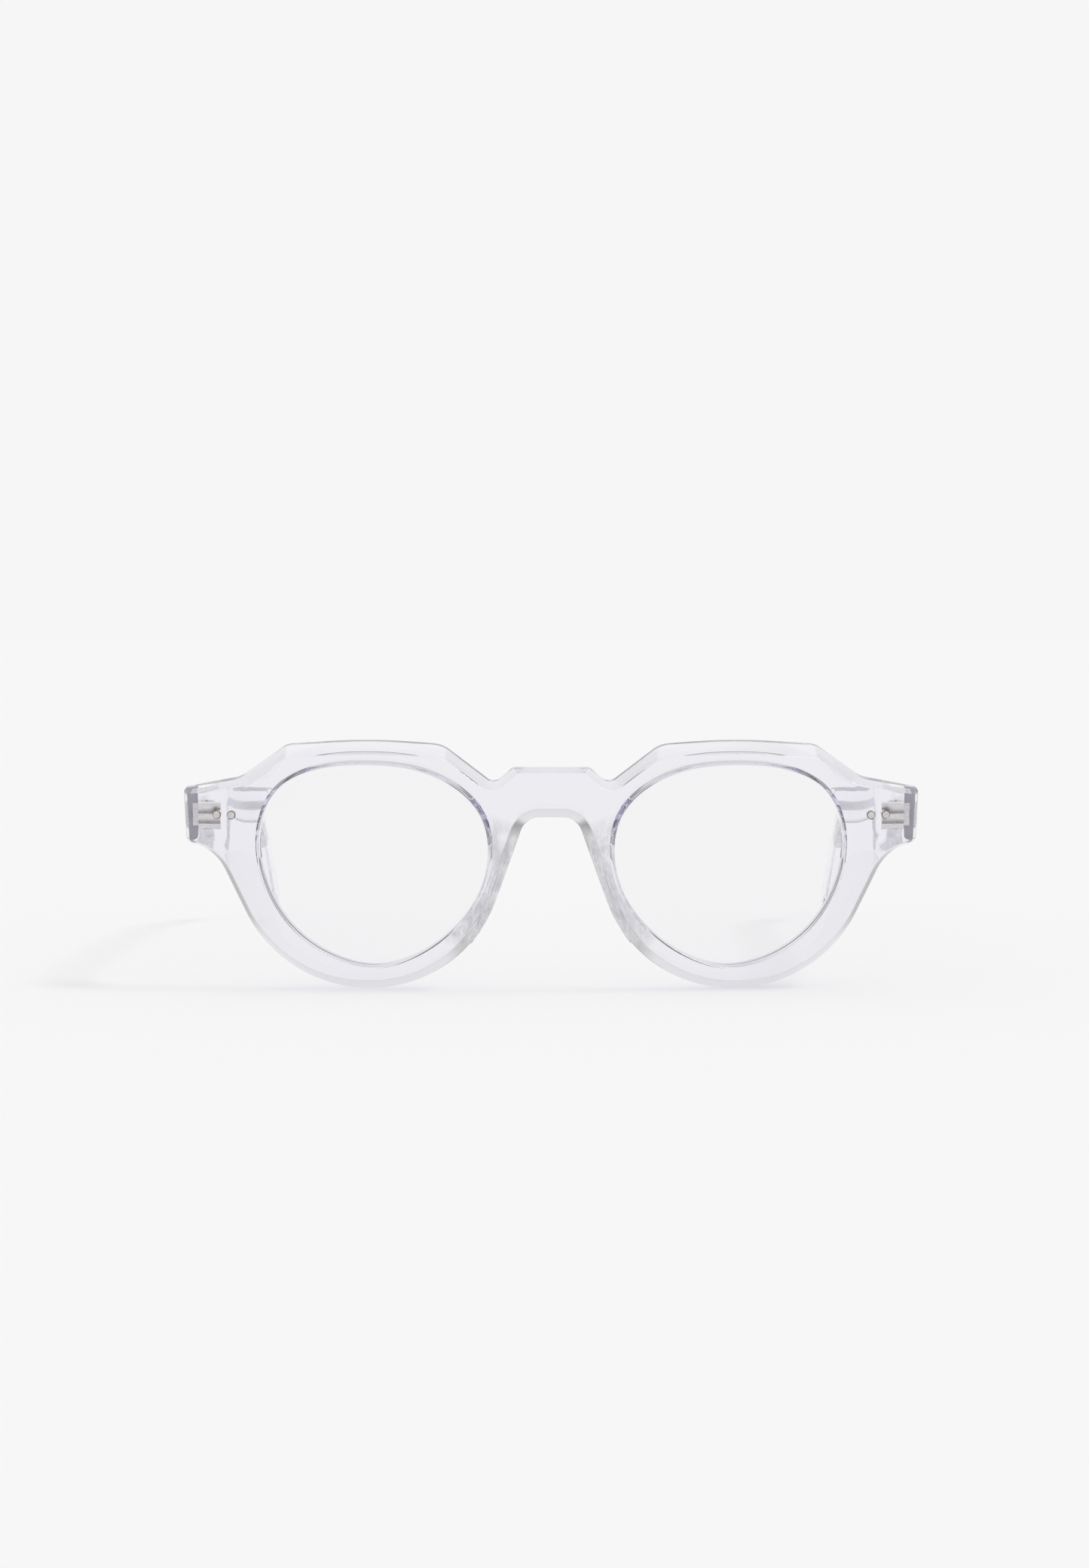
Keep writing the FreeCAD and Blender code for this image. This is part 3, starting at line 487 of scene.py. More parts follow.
def lens_surface(setback):
    """The depth, at places across and up, of a surface that lies a set-back behind the lens's face."""
    radius = LENS_CURVE_RADIUS - setback
    return lambda across, up: LENS_SETBACK + setback + radius - np.sqrt(radius**2 - across**2 - up**2)


def front_surface(setback):
    """The depth, at places across and up, of a surface concentric with the front's face."""
    return lambda across, up: WRAP_RADIUS - np.sqrt((WRAP_RADIUS - setback) ** 2 - across**2)


# The nose pads, joined to the front's back

# A pad's line runs down between the outline's last two corners.
pad_lower, pad_upper = np.array(FRONT_CORNER_SHARES)[-2:, :2] * (half_width, front_height)
pad_down = (pad_lower - pad_upper) / np.linalg.norm(pad_lower - pad_upper)

# Down a pad: the share of its length, and there its depth, its width and its shift inwards, as shares
# of the greatest depth and width.
PAD_SHARES = (
    (0.00, -0.05, 0.40, 0.10),
    (0.09, 0.20, 0.62, 0.07),
    (0.20, 0.54, 0.83, 0.05),
    (0.45, 0.92, 0.98, 0.04),
    (0.72, 0.86, 0.98, 0.09),
    (0.90, 0.48, 0.78, 0.28),
    (1.00, -0.05, 0.42, 0.50),
)
PAD_RINGS = 44
PAD_POINTS = 30
PAD_ROOT = 0.25
PAD_FLARE = 0.15
PAD_CREST_POWER = 1.6


def smooth_shares(t):
    """Read the pad's table between its stations by a curve with matched slopes."""
    rows = np.array(PAD_SHARES)
    at = rows[:, 0]
    slopes = np.gradient(rows, at, axis=0)
    i = min(int(np.searchsorted(at, t, side="right")) - 1, len(at) - 2)
    width = at[i + 1] - at[i]
    return hermite((t - at[i]) / width, rows[i], rows[i + 1], slopes[i] * width, slopes[i + 1] * width)


def pad_tool(side):
    """One nose pad as a closed mesh with its root inside the front."""
    rings = []
    for k in range(PAD_RINGS + 1):
        along, deep, wide, set_in = smooth_shares(k / PAD_RINGS)
        line = pad_upper + pad_down * (PAD_TOP_SHARE * front_height + along * PAD_LENGTH)
        depth = deep * PAD_DEPTH
        splay = PAD_FLARE * PAD_SPLAY_SHARE * max(depth, 0)
        span = wide * PAD_WIDTH + splay
        root_y = FRONT_THICKNESS + float(front_face(line[0])) - PAD_ROOT
        ring = []
        for j in range(PAD_POINTS):
            angle = math.pi * j / (PAD_POINTS - 1)
            rise = math.sin(angle) ** PAD_CREST_POWER if 0 < j < PAD_POINTS - 1 else 0.0
            inwards = span * (1 - math.cos(angle)) / 2 + splay / 2 * math.sin(angle)
            x = line[0] + set_in * PAD_WIDTH + inwards
            ring.append((side * x, root_y + (PAD_ROOT + depth) * rise, line[1]))
        rings.append(ring)
    return ring_body("tool", rings)


# The front

FACE_ROUND = 0.22
BEVEL_ROUND = 0.45
BACK_ROUND = 0.55
MOUTH_ROUND = 0.30
ROUND_STEPS = 4
BACK_ROUND_STEPS = 5
# a rounding that starts at another ring stops a little short of it
SHORT = 0.98
# the free points: a staggered grid, and a finer one on the step to each lug
GRID = 2.6
GRID_ROW_SHARE = 0.87
GRID_CLEAR = 0.5
STEP_GRID = (0.9, 1.6)
STEP_CLEAR = 0.3
STEP_FROM = 0.5
STEP_OVER = 0.1
CDT_EPSILON = 1e-7
TOOL_OVERRUN = 2


def place_on(height, flat):
    """Set flat points (x, z) on a surface given by its depth at x."""
    return np.column_stack([flat[:, 0], height(flat[:, 0]), flat[:, 1]])


def fill_face(shell, rings, height, spots):
    """Triangulate a face between its outline and its holes, with free points for its curve.

    The rings hold the points' indices in the shell and their flat places, the outline's ring first.
    """
    indices = [k for ring, _ in rings for k in ring]
    flat = np.concatenate([places for _, places in rings])
    edges = []
    for ring, _ in rings:
        first = len(edges)
        edges += [(first + k, first + (k + 1) % len(ring)) for k in range(len(ring))]

    def within(points):
        found = inside(rings[0][1], points)
        for _, hole in rings[1:]:
            found &= ~inside(hole, points)
        return found

    clear = [np.min(np.sum((flat - spot) ** 2, axis=1)) > GRID_CLEAR**2 for spot in spots]
    free = spots[clear]
    free = free[within(free)]
    indices += shell.add(place_on(height, free))
    coords = [Vector(place) for place in np.concatenate([flat, free])]
    found, found_edges, faces, found_from, edges_from, _ = delaunay_2d_cdt(coords, edges, [], 0, CDT_EPSILON)
    mapping = [indices[origins[0]] for origins in found_from]
    places = np.array([tuple(place) for place in found])
    triangles = np.array([tuple(face) for face in faces])
    good = within(places[triangles].mean(axis=1))
    # slivers on the rings go with their region, so that the mesh stays closed
    walls = {frozenset(edge) for edge, origins in zip(found_edges, edges_from) if origins}
    beside = {}
    for index, face in enumerate(triangles.tolist()):
        for k in range(3):
            beside.setdefault(frozenset((face[k], face[(k + 1) % 3])), []).append(index)
    near = [[] for _ in triangles]
    for edge, pair in beside.items():
        if edge in walls:
            continue
        if len(pair) == 1:
            good[pair[0]] = False
        else:
            near[pair[0]].append(pair[1])
            near[pair[1]].append(pair[0])
    spans = places[triangles[:, 1:]] - places[triangles[:, :1]]
    areas = np.abs(spans[:, 0, 0] * spans[:, 1, 1] - spans[:, 0, 1] * spans[:, 1, 0])
    seen = set()
    for start in range(len(triangles)):
        if start in seen:
            continue
        seen.add(start)
        region = [start]
        for index in region:
            for other in near[index]:
                if other not in seen:
                    seen.add(other)
                    region.append(other)
        if np.sum(areas[region] * np.where(good[region], 1, -1)) > 0:
            for index in region:
                shell.faces.append(tuple(mapping[k] for k in triangles[index]))


def grid_spots():
    """A staggered grid of free points over the front."""
    spots = []
    row = 0
    z = 0
    while z < front_height:
        x = -half_width + (GRID / 2 if row % 2 else 0)
        while x < half_width:
            spots.append((x, z))
            x += GRID
        z += GRID * GRID_ROW_SHARE
        row += 1
    return np.array(spots)


def build_front():
    """The clear front with its rounded edges, bevels, lens grooves and nose pads, as one closed mesh."""
    shell = Shell()
    corners, bevels = front_corners()
    counts = outline_counts(corners)
    outer = outline_points(corners, counts)
    face_edge = outline_points(inset_corners(corners, bevels), counts)
    face_inner = outline_points(inset_corners(corners, [b + FACE_ROUND for b in bevels]), counts)
    back_inner = outline_points(inset_corners(corners, [BACK_ROUND] * len(corners)), counts)

    p_inner = place_on(front_face, face_inner)
    p_face = place_on(front_face, face_edge)
    p_mid = place_on(lambda x: front_face(x) + BEVEL_DEPTH, outer)
    p_back = place_on(back_face, outer)
    p_back_inner = place_on(back_face, back_inner)

    rows = [p_inner]
    rows += rounded_corner(p_inner, p_face, p_mid, FACE_ROUND * SHORT, ROUND_STEPS)[1:]
    rows += rounded_corner(p_face, p_mid, p_back, BEVEL_ROUND, ROUND_STEPS)
    rows += rounded_corner(p_mid, p_back, p_back_inner, BACK_ROUND * SHORT, BACK_ROUND_STEPS)[:-1]
    rows.append(p_back_inner)
    rings = shell.skin(rows)
    front_rings = [(rings[0], face_inner)]
    back_rings = [(rings[-1], back_inner)]

    # each lens's hole: its mouth in front, the V groove, and its mouth behind
    lip = -GROOVE_DEPTH
    profile = (
        (lip + MOUTH_ROUND, front_surface(0)),
        (lip, front_surface(0)),
        (lip, lens_surface(-LENS_CLEARANCE)),
        (LENS_CLEARANCE, lens_surface(LENS_THICKNESS / 2)),
        (lip, lens_surface(LENS_THICKNESS + LENS_CLEARANCE)),
        (lip, front_surface(FRONT_THICKNESS)),
        (lip + MOUTH_ROUND, front_surface(FRONT_THICKNESS)),
    )
    for side in (1, -1):
        rows = [lens_ring(side, grow, surface) for grow, surface in profile]
        # the mouths' outer rings lie exactly on the front's faces
        for row, face in ((rows[0], front_face), (rows[-1], back_face)):
            row[:, 1] = face(row[:, 0])
        face_mouth = rounded_corner(*rows[:3], MOUTH_ROUND * SHORT, ROUND_STEPS)[1:]
        back_mouth = rounded_corner(*rows[4:], MOUTH_ROUND * SHORT, ROUND_STEPS)[:-1]
        hole = shell.skin([rows[0], *face_mouth, *rows[2:5], *back_mouth, rows[-1]])
        front_rings.append((hole[0], rows[0][:, [0, 2]]))
        back_rings.append((hole[-1], rows[-1][:, [0, 2]]))

    spots = grid_spots()
    fill_face(shell, front_rings, front_face, spots)
    far_x = np.abs(spots[:, 0])
    plain = spots[(far_x < lug_foot_x - STEP_CLEAR) | (far_x > lug_inner_x + STEP_CLEAR)]
    step_x = np.arange(lug_foot_x, lug_inner_x + STEP_OVER, STEP_GRID[0])
    step_z = np.arange(STEP_FROM, front_height, STEP_GRID[1])
    step = np.array([(side * x, z) for side in (1, -1) for x in step_x for z in step_z])
    fill_face(shell, back_rings, back_face, np.concatenate([plain, step]))
    front = shell.build("clear_front", to_row)
    slack = LEAF_CLEARANCE
    hole_radius = PIN_DIAMETER / 2 + PIN_CLEARANCE + PIN_RING
    for side in (1, -1):
        combine(front, pad_tool(side), "UNION")
        pocket(
            front, side, (front_leaf_x - slack, front_leaf_x + FRONT_LEAF_WIDTH + slack),
            (joint_y - FRONT_LEAF_DEPTH - slack, joint_y + TOOL_OVERRUN), STACK_HEIGHT / 2 + slack,
        )
        for order in range(len(PIN_BASES)):
            rings = round_rings([(hole_radius, 0), (hole_radius, PIN_LENGTH + TOOL_OVERRUN)], PIN_HOLE_SIDES)
            combine(front, ring_body("tool", rings, pin_place(side, order)), "DIFFERENCE")
    crisp_normals(front)
    return front


def pin_place(side, order):
    """Where a trim pin's foot lies in the front, with the pin's Z axis square to the front's face."""
    x = half_width - PIN_FROM_END - order * PIN_SPACING
    outward = Vector((x / WRAP_RADIUS, front_face(x) / WRAP_RADIUS - 1, 0))
    foot = Vector((x, front_face(x), joint_z + PIN_RISE)) - outward * PIN_LENGTH
    foot.x *= side
    outward.x *= side
    return to_row @ Matrix.Translation(foot) @ outward.to_track_quat("Z", "Y").to_matrix().to_4x4()


def build_pin(side, order, name):
    """A turned trim pin with a dull face, and painted shade in dark metal on its chamfered rim and sides."""
    radius = PIN_DIAMETER / 2
    top = PIN_LENGTH - PIN_SINK
    place = pin_place(side, order)
    pin = ring_body(name, round_rings((
        (radius - PIN_CHAMFER, 0), (radius, PIN_CHAMFER), (radius, PIN_LENGTH - PIN_RIM_DEPTH),
        (radius - PIN_CHAMFER, top), (radius * PIN_MIDDLE_SHARE, top),
    ), PIN_SIDES), place)
    crisp_normals(pin)
    dress(pin, pin_metal)
    pin.data.materials.append(pin_rim_painted_shade)
    outward = place.col[2].to_3d().normalized()
    # faces that don't look outward, the chamfer and the sides, take the dark metal: a painted shade ring
    for polygon in pin.data.polygons:
        if polygon.normal.dot(outward) < PIN_FACING:
            polygon.material_index = 1
    return pin


# The lenses

LENS_RING_SCALES = (0.02, 0.08, 0.18, 0.3, 0.42, 0.54, 0.65, 0.75, 0.84, 0.91, 0.96, 0.985)
LENS_EDGE_ROUND = 0.06
LENS_EDGE_STEPS = 3


def build_lens(side, name):
    """A curved lens with a V edge, in rings from its middle to its edge and back."""
    lip = -(GROOVE_DEPTH + LENS_CLEARANCE)
    face, ridge, back = (lens_surface(LENS_THICKNESS * share) for share in (0, 0.5, 1))
    rows = [lens_ring(side, lip, face, scale) for scale in LENS_RING_SCALES]
    backs = [lens_ring(side, lip, back, scale) for scale in reversed(LENS_RING_SCALES)]
    edge = [lens_ring(side, lip, face), lens_ring(side, 0, ridge), lens_ring(side, lip, back)]
    corners = [rows[-1], *edge, backs[0]]
    for three in zip(corners, corners[1:], corners[2:]):
        rows += rounded_corner(*three, LENS_EDGE_ROUND, LENS_EDGE_STEPS)
    lens = ring_body(name, rows + backs)
    crisp_normals(lens)
    return lens


# The temples

bend_tangent = TEMPLE_BEND_RADIUS * math.tan(HOOK / 2)
bend_arc = TEMPLE_BEND_RADIUS * HOOK
hook_straight = TEMPLE_LENGTH - TEMPLE_BEND_AT - bend_arc
temple_reach = (TEMPLE_BEND_AT + bend_tangent) * math.cos(PANTO)
temple_reach += (bend_tangent + hook_straight) * math.cos(PANTO + HOOK)


def temple_line(along):
    """Point (y, z) of the temple's side-on line, and its slope."""
    into = along - TEMPLE_BEND_AT
    straight = min(along, TEMPLE_BEND_AT)
    y = joint_y + straight * math.cos(PANTO)
    z = joint_z - straight * math.sin(PANTO)
    if into <= 0:
        return y, z, PANTO
    angle = min(into, bend_arc) / TEMPLE_BEND_RADIUS
    y += TEMPLE_BEND_RADIUS * (math.sin(PANTO + angle) - math.sin(PANTO))
    z += TEMPLE_BEND_RADIUS * (math.cos(PANTO + angle) - math.cos(PANTO))
    beyond = max(into - bend_arc, 0)
    slope = PANTO + angle
    return y + beyond * math.cos(slope), z - beyond * math.sin(slope), slope


def bow_at(y):
    """How far the temple has bowed inwards at y."""
    start = joint_y + TEMPLE_BOW_START
    share = max(y - start, 0) / (joint_y + temple_reach - start)
    return TEMPLE_BOW * share * share


TEMPLE_ROUND = 1.0
ROUND_LIMIT = 0.96
CORNER_STEPS = 5
TEMPLE_STEP = 2.5
BEND_STEPS = 24
HOOK_STEPS = 8
TIP_STEPS = 15
TIP_TRIM = 0.05
TIP_FULLNESS = 0.35
BUTT_ROUND = 0.18
# the butt's rings, in shares of its rounding: how far in, and how far behind the butt's plane
BUTT_RINGS = ((2.2, 0), (1, 0), (0.3, 0.3), (0, 1))


def section(half_across, half_up, radius):
    """A rounded rectangle round the origin, as (across, up) pairs."""
    radius = min(radius, half_across * ROUND_LIMIT, half_up * ROUND_LIMIT)
    pairs = []
    for sign_a, sign_u, start in ((1, 1, 0), (-1, 1, 90), (-1, -1, 180), (1, -1, 270)):
        for k in range(CORNER_STEPS + 1):
            angle = math.radians(start + 90 * k / CORNER_STEPS)
            pairs.append((
                sign_a * (half_across - radius) + radius * math.cos(angle),
                sign_u * (half_up - radius) + radius * math.sin(angle),
            ))
    return pairs


def build_temple(side, name):
    """A temple with softly rounded edges, a flat butt and a rounded tip."""
    end_radius = TEMPLE_TIP_HEIGHT / 2

    def ring(along, shrink=(1, 1), inset=0, at_butt=None):
        y, z, slope = temple_line(along)
        heights = (TEMPLE_HEIGHT, TEMPLE_WAIST, TEMPLE_TIP_HEIGHT)
        height = np.interp(along, (0, TEMPLE_BEND_AT, TEMPLE_LENGTH), heights)
        thickness = np.interp(along, (0, TEMPLE_LENGTH), (TEMPLE_THICKNESS, TEMPLE_TIP_THICKNESS))
        centre_x = temple_outer_x - thickness / 2 - bow_at(y)
        half_a = (thickness / 2) * shrink[0] - inset
        half_u = (height / 2) * shrink[1] - inset
        points = []
        for across, up in section(half_a, half_u, (TEMPLE_ROUND - inset) * min(shrink)):
            py = y + up * math.sin(slope)
            pz = z + up * math.cos(slope)
            if at_butt is not None:
                # slide the point along the temple onto the butt's plane
                pz -= (at_butt - py) * math.tan(slope)
                py = at_butt
            points.append((side * (centre_x + across), py, pz))
        return np.array(points)

    butt_y = joint_y + JOINT_GAP
    rows = []
    for inset, back in BUTT_RINGS:
        rows.append(ring(0, inset=BUTT_ROUND * inset, at_butt=butt_y + BUTT_ROUND * back))
    alongs = [*np.arange(TEMPLE_STEP, TEMPLE_BEND_AT, TEMPLE_STEP), TEMPLE_BEND_AT]
    alongs += [TEMPLE_BEND_AT + bend_arc * k / BEND_STEPS for k in range(1, BEND_STEPS + 1)]
    body_end = TEMPLE_LENGTH - TIP_TRIM - end_radius
    alongs += list(np.linspace(TEMPLE_BEND_AT + bend_arc, body_end, HOOK_STEPS + 1)[1:])
    rows += [ring(along) for along in alongs]
    for k in range(1, TIP_STEPS):
        angle = math.pi / 2 * k / TIP_STEPS
        narrow = math.cos(angle)
        across = TIP_FULLNESS + (1 - TIP_FULLNESS) * math.sqrt(narrow)
        rows.append(ring(body_end + end_radius * math.sin(angle), (across * math.sqrt(narrow), narrow)))
    temple = ring_body(name, rows)
    slack = LEAF_CLEARANCE
    pocket(
        temple, side, (temple_inner_x - TOOL_OVERRUN, temple_inner_x + LEAF_THICKNESS + slack),
        (joint_y - TOOL_OVERRUN, axis_y - barrel_radius + TEMPLE_LEAF_LENGTH + slack),
        TEMPLE_LEAF_HEIGHT / 2 + slack,
    )
    crisp_normals(temple)
    return temple


# Materials

# The nose pads take painted grey streaks of shade and a finish that bends light less: a band along each
# pad's line, from inside the front's back, in millimetres with a fade at each end.
PAD_STREAK_TOP = 3.2
PAD_STREAK_END = 27.5
PAD_STREAK_FADE = 1.6
PAD_STREAK_INTO = 1.0
PAD_STREAK_INTO_FADE = 0.3
PAD_STREAK_BACK = 100.0
PAD_STREAK_ASIDE = 7.0
PAD_STREAK_ASIDE_FADE = 0.5
PAD_STREAK_SOFTNESS = 0.76
from_row = to_row.inverted()


class Tree:
    """The nodes of a material or a world, made by short calls that give the sockets to go on from."""

    def __init__(self, owner, output="ShaderNodeOutputMaterial"):
        self.owner = owner
        owner.use_nodes = True
        self.nodes = owner.node_tree.nodes
        self.links = owner.node_tree.links
        self.nodes.clear()
        self.output = self.nodes.new(output)

    def add(self, kind, values=None, **settings):
        """Make a node whose inputs take plain values or other nodes' sockets, and give its outputs."""
        node = self.nodes.new(kind)
        for key, value in settings.items():
            setattr(node, key, value)
        for key, value in (values or {}).items():
            self.feed(node.inputs[key], value)
        return node.outputs

    def feed(self, socket, value):
        if isinstance(value, bpy.types.NodeSocket):
            self.links.new(value, socket)
        else:
            socket.default_value = value

    def surface(self, shader):
        """Show a shader, and give the material or world that it belongs to."""
        self.feed(self.output.inputs["Surface"], shader)
        return self.owner

    def place(self):
        return self.add("ShaderNodeTexCoord")["Object"]

    def ray(self, kind):
        return self.add("ShaderNodeLightPath")[kind]

    def maths(self, operation, first, *others):
        """Take sockets or numbers together one after another by a maths operation."""
        for other in others:
            first = self.add("ShaderNodeMath", {0: first, 1: other}, operation=operation)["Value"]
        return first

    def step(self, value, low, high, at_low, at_high, kind="LINEAR"):
        """A step of a socket's value between two ends, straight or soft."""
        ends = {"Value": value, "From Min": low, "From Max": high, "To Min": at_low, "To Max": at_high}
        return self.add("ShaderNodeMapRange", ends, interpolation_type=kind)["Result"]

    def noise(self, vector, scale, detail, roughness, stretch=None):
        if stretch:
            vector = self.add("ShaderNodeMapping", {"Vector": vector, "Scale": stretch})["Vector"]
        return self.add("ShaderNodeTexNoise", {
            "Vector": vector, "Scale": scale, "Detail": detail, "Roughness": roughness,
        })["Fac"]

    def ramp(self, share, low_colour, high_colour, low=0.0, high=1.0):
        """A colour that goes from one to another over a share."""
        node = self.nodes.new("ShaderNodeValToRGB")
        for element, colour, at in zip(node.color_ramp.elements, (low_colour, high_colour), (low, high)):
            element.color = (*colour, 1)
            element.position = at
        self.feed(node.inputs["Fac"], share)
        return node.outputs["Color"]

    def bump(self, height, strength, distance):
        values = {"Height": height, "Strength": strength, "Distance": distance}
        return self.add("ShaderNodeBump", values)["Normal"]

    def mix(self, share, first, second):
        """Mix two shaders' sockets."""
        return self.add("ShaderNodeMixShader", {"Fac": share, 1: first, 2: second})["Shader"]


def soften_pads(tree, where, polished):
    """Over the nose pads, mix the polish with a finish that bends light less and carries painted streaks of
    shade.
    """
    own = tree.add("ShaderNodeMapping", {
        "Vector": where, "Location": from_row.translation,
        "Rotation": from_row.to_euler(), "Scale": from_row.to_scale(),
    })["Vector"]
    sided = tree.add("ShaderNodeVectorMath", {0: own}, operation="ABSOLUTE")["Vector"]
    depth = tree.add("ShaderNodeSeparateXYZ", {"Vector": sided})["Y"]

    def along(direction):
        """How far a place lies in a direction, and how far the pads' upper end does."""
        values = {0: sided, 1: (direction[0], 0, direction[1])}
        place = tree.add("ShaderNodeVectorMath", values, operation="DOT_PRODUCT")["Value"]
        return place, float(np.dot(pad_upper, direction))

    def faded(socket, low, high, fade):
        """A band between two ends, each with a fade."""
        rising = tree.step(socket, low - fade, low + fade, 0, 1)
        return tree.maths("MULTIPLY", rising, tree.step(socket, high - fade, high + fade, 1, 0))

    down, down_zero = along(pad_down)
    aside, aside_zero = along(np.array([pad_down[1], -pad_down[0]]))
    zone = tree.maths(
        "MULTIPLY",
        faded(down, down_zero + PAD_STREAK_TOP, down_zero + PAD_STREAK_END, PAD_STREAK_FADE),
        faded(aside, aside_zero - PAD_STREAK_ASIDE, aside_zero + PAD_STREAK_ASIDE, PAD_STREAK_ASIDE_FADE),
        faded(depth, FRONT_THICKNESS - PAD_STREAK_INTO, PAD_STREAK_BACK, PAD_STREAK_INTO_FADE),
    )
    # painted shade: grey streaks in the pads' colour stand in for the dark streaks that refraction shows there
    painted_shade_streaks = tree.noise(where, scale=170.0, detail=6.0, roughness=0.72, stretch=(3, 1, 1))
    painted_shade_streaks = tree.ramp(painted_shade_streaks, (0.56, 0.56, 0.57), (1, 1, 1), low=0.34, high=0.66)
    painted_streak_bsdf = tree.add("ShaderNodeBsdfPrincipled", {
        "Base Color": painted_shade_streaks, "Transmission Weight": 1.0, "IOR": 1.25, "Roughness": 0.22,
    })["BSDF"]
    straight = tree.add("ShaderNodeBsdfTransparent", {"Color": painted_shade_streaks})["BSDF"]
    return tree.mix(zone, polished, tree.mix(PAD_STREAK_SOFTNESS, painted_streak_bsdf, straight))


def clear_plastic(name, tint, density, roughness, ripple, ior=1.49, mirror=1.0, pads=False):
    """Clear plastic: polished, faintly rippled, tinted by its depth, with a light shadow.

    A mirror share under 1 takes its reflection down, as a coating does.
    """
    tree = Tree(bpy.data.materials.new(name))
    where = tree.place()
    waves = tree.noise(where, scale=70.0, detail=2.0, roughness=0.5)
    smudge = tree.noise(where, scale=240.0, detail=3.0, roughness=0.6)
    shader = tree.add("ShaderNodeBsdfPrincipled", {
        "Base Color": (1, 1, 1, 1), "Transmission Weight": 1.0, "IOR": ior,
        "Specular Tint": (mirror, mirror, mirror, 1),
        "Roughness": tree.step(smudge, 0.35, 0.75, at_low=roughness * 0.6, at_high=roughness * 1.8),
        "Normal": tree.bump(waves, strength=ripple, distance=0.0006),
    })["BSDF"]
    if pads:
        shader = soften_pads(tree, where, shader)
    passing = tree.add("ShaderNodeBsdfTransparent", {"Color": (0.985, 0.985, 0.989, 1)})["BSDF"]
    either = tree.maths("MAXIMUM", tree.ray("Is Shadow Ray"), tree.ray("Is Diffuse Ray"))
    absorbing = tree.add("ShaderNodeVolumeAbsorption", {"Color": (*tint, 1), "Density": density})
    tree.feed(tree.output.inputs["Volume"], absorbing["Volume"])
    return tree.surface(tree.mix(either, shader, passing))


def metal(name, colour, roughness, grain, stretch):
    """Drawn or turned metal with fine marks along one direction."""
    tree = Tree(bpy.data.materials.new(name))
    marks = tree.noise(tree.place(), grain, detail=4.0, roughness=0.6, stretch=stretch)
    shader = tree.add("ShaderNodeBsdfPrincipled", {
        "Metallic": 1.0,
        "Base Color": tree.ramp(marks, [tone * 0.78 for tone in colour], colour, low=0.3, high=0.65),
        "Roughness": tree.step(marks, 0, 1, at_low=roughness * 0.7, at_high=roughness * 1.4),
        "Normal": tree.bump(marks, strength=0.25, distance=0.00002),
    })
    return tree.surface(shader["BSDF"])


def sanded(name, colour):
    """Sawn and sanded acetate: dull grey with fine saw marks."""
    tree = Tree(bpy.data.materials.new(name))
    marks = tree.noise(tree.place(), scale=420.0, detail=3.0, roughness=0.55, stretch=(1, 1, 9))
    shader = tree.add("ShaderNodeBsdfPrincipled", {
        "Roughness": 0.55, "IOR": 1.49, "Transmission Weight": 0.25,
        "Base Color": tree.ramp(marks, [tone * 0.90 for tone in colour], colour),
        "Normal": tree.bump(marks, strength=0.2, distance=0.00003),
    })
    return tree.surface(shader["BSDF"])


def dress(thing, material):
    thing.data.materials.clear()
    thing.data.materials.append(material)


acetate = clear_plastic(
    "clear_acetate", (0.20, 0.16, 0.53), density=19.5, roughness=0.008, ripple=0.02, pads=True
)
temple_acetate = clear_plastic("temple_acetate", (0.24, 0.19, 0.54), density=9.0, roughness=0.012, ripple=0.03)
lens_glass = clear_plastic(
    "lens_plastic", (0.30, 0.30, 0.50), density=27.0, roughness=0.004, ripple=0.0, ior=1.5, mirror=0.12
)
butt_acetate = sanded("sanded_butt", (0.45, 0.435, 0.47))
hinge_metal = metal("nickel_hinge", (0.92, 0.90, 0.88), roughness=0.26, grain=900.0, stretch=(1, 1, 6))
screw_metal = metal("screw_steel", (0.72, 0.72, 0.73), roughness=0.25, grain=1400.0, stretch=(1, 1, 8))
core_metal = metal("drawn_core", (0.93, 0.93, 0.94), roughness=0.3, grain=600.0, stretch=(6, 0.4, 6))
pin_metal = metal("turned_pin", (0.80, 0.74, 0.71), roughness=0.38, grain=1600.0, stretch=(1, 1, 1))
# the pins' rims and sides take a dark metal: painted shade for the dark ring round each pin
pin_rim_painted_shade = metal("pin_rim_painted_shade", (0.22, 0.20, 0.19), roughness=0.35, grain=1600.0, stretch=(1, 1, 1))

front = build_front()
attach(front, "front")
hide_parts("frame_front", "nose_pad_left", "nose_pad_right")
dress(front, acetate)

# Faces that look ahead and lie this near to a temple's foremost point, in metres, are its sanded butt.
BUTT_FACING = 0.9
BUTT_BAND = 0.0002
ahead = (to_row.to_3x3() @ Vector((0, -1, 0))).normalized()
for word, side in (("left", 1), ("right", -1)):
    lens = build_lens(side, "clear_lens_" + word)
    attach(lens, "front")
    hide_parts("lens_" + word)
    dress(lens, lens_glass)
    temple = build_temple(side, "clear_temple_" + word)
    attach(temple, "temple_" + word)
    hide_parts("temple_" + word)
    dress(temple, temple_acetate)
    temple.data.materials.append(butt_acetate)
    reach = max(ahead.dot(vertex.co) for vertex in temple.data.vertices)
    for polygon in temple.data.polygons:
        if polygon.normal.dot(ahead) > BUTT_FACING and ahead.dot(polygon.center) > reach - BUTT_BAND:
            polygon.material_index = 1
    for order, base in enumerate(PIN_BASES):
        pin = build_pin(side, order, "trim_" + base + word)
        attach(pin, "front")
        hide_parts(base + word)
    for base, material in (
        ("temple_core_", core_metal), ("front_hinge_", hinge_metal), ("temple_hinge_", hinge_metal),
        ("hinge_screw_", screw_metal), ("outer_pin_", pin_metal), ("inner_pin_", pin_metal),
    ):
        dress(nodes[base + word], material)

# Stage

# The background as the camera sees it, the light on dull surfaces, and the floor with its edges in metres
BACKGROUND = 0.9216
FILL = 0.85
FLOOR_COLOUR = 0.929
FLOOR_SIDE = 0.9
FLOOR_NEAR = -0.8
FLOOR_FAR = 1.3

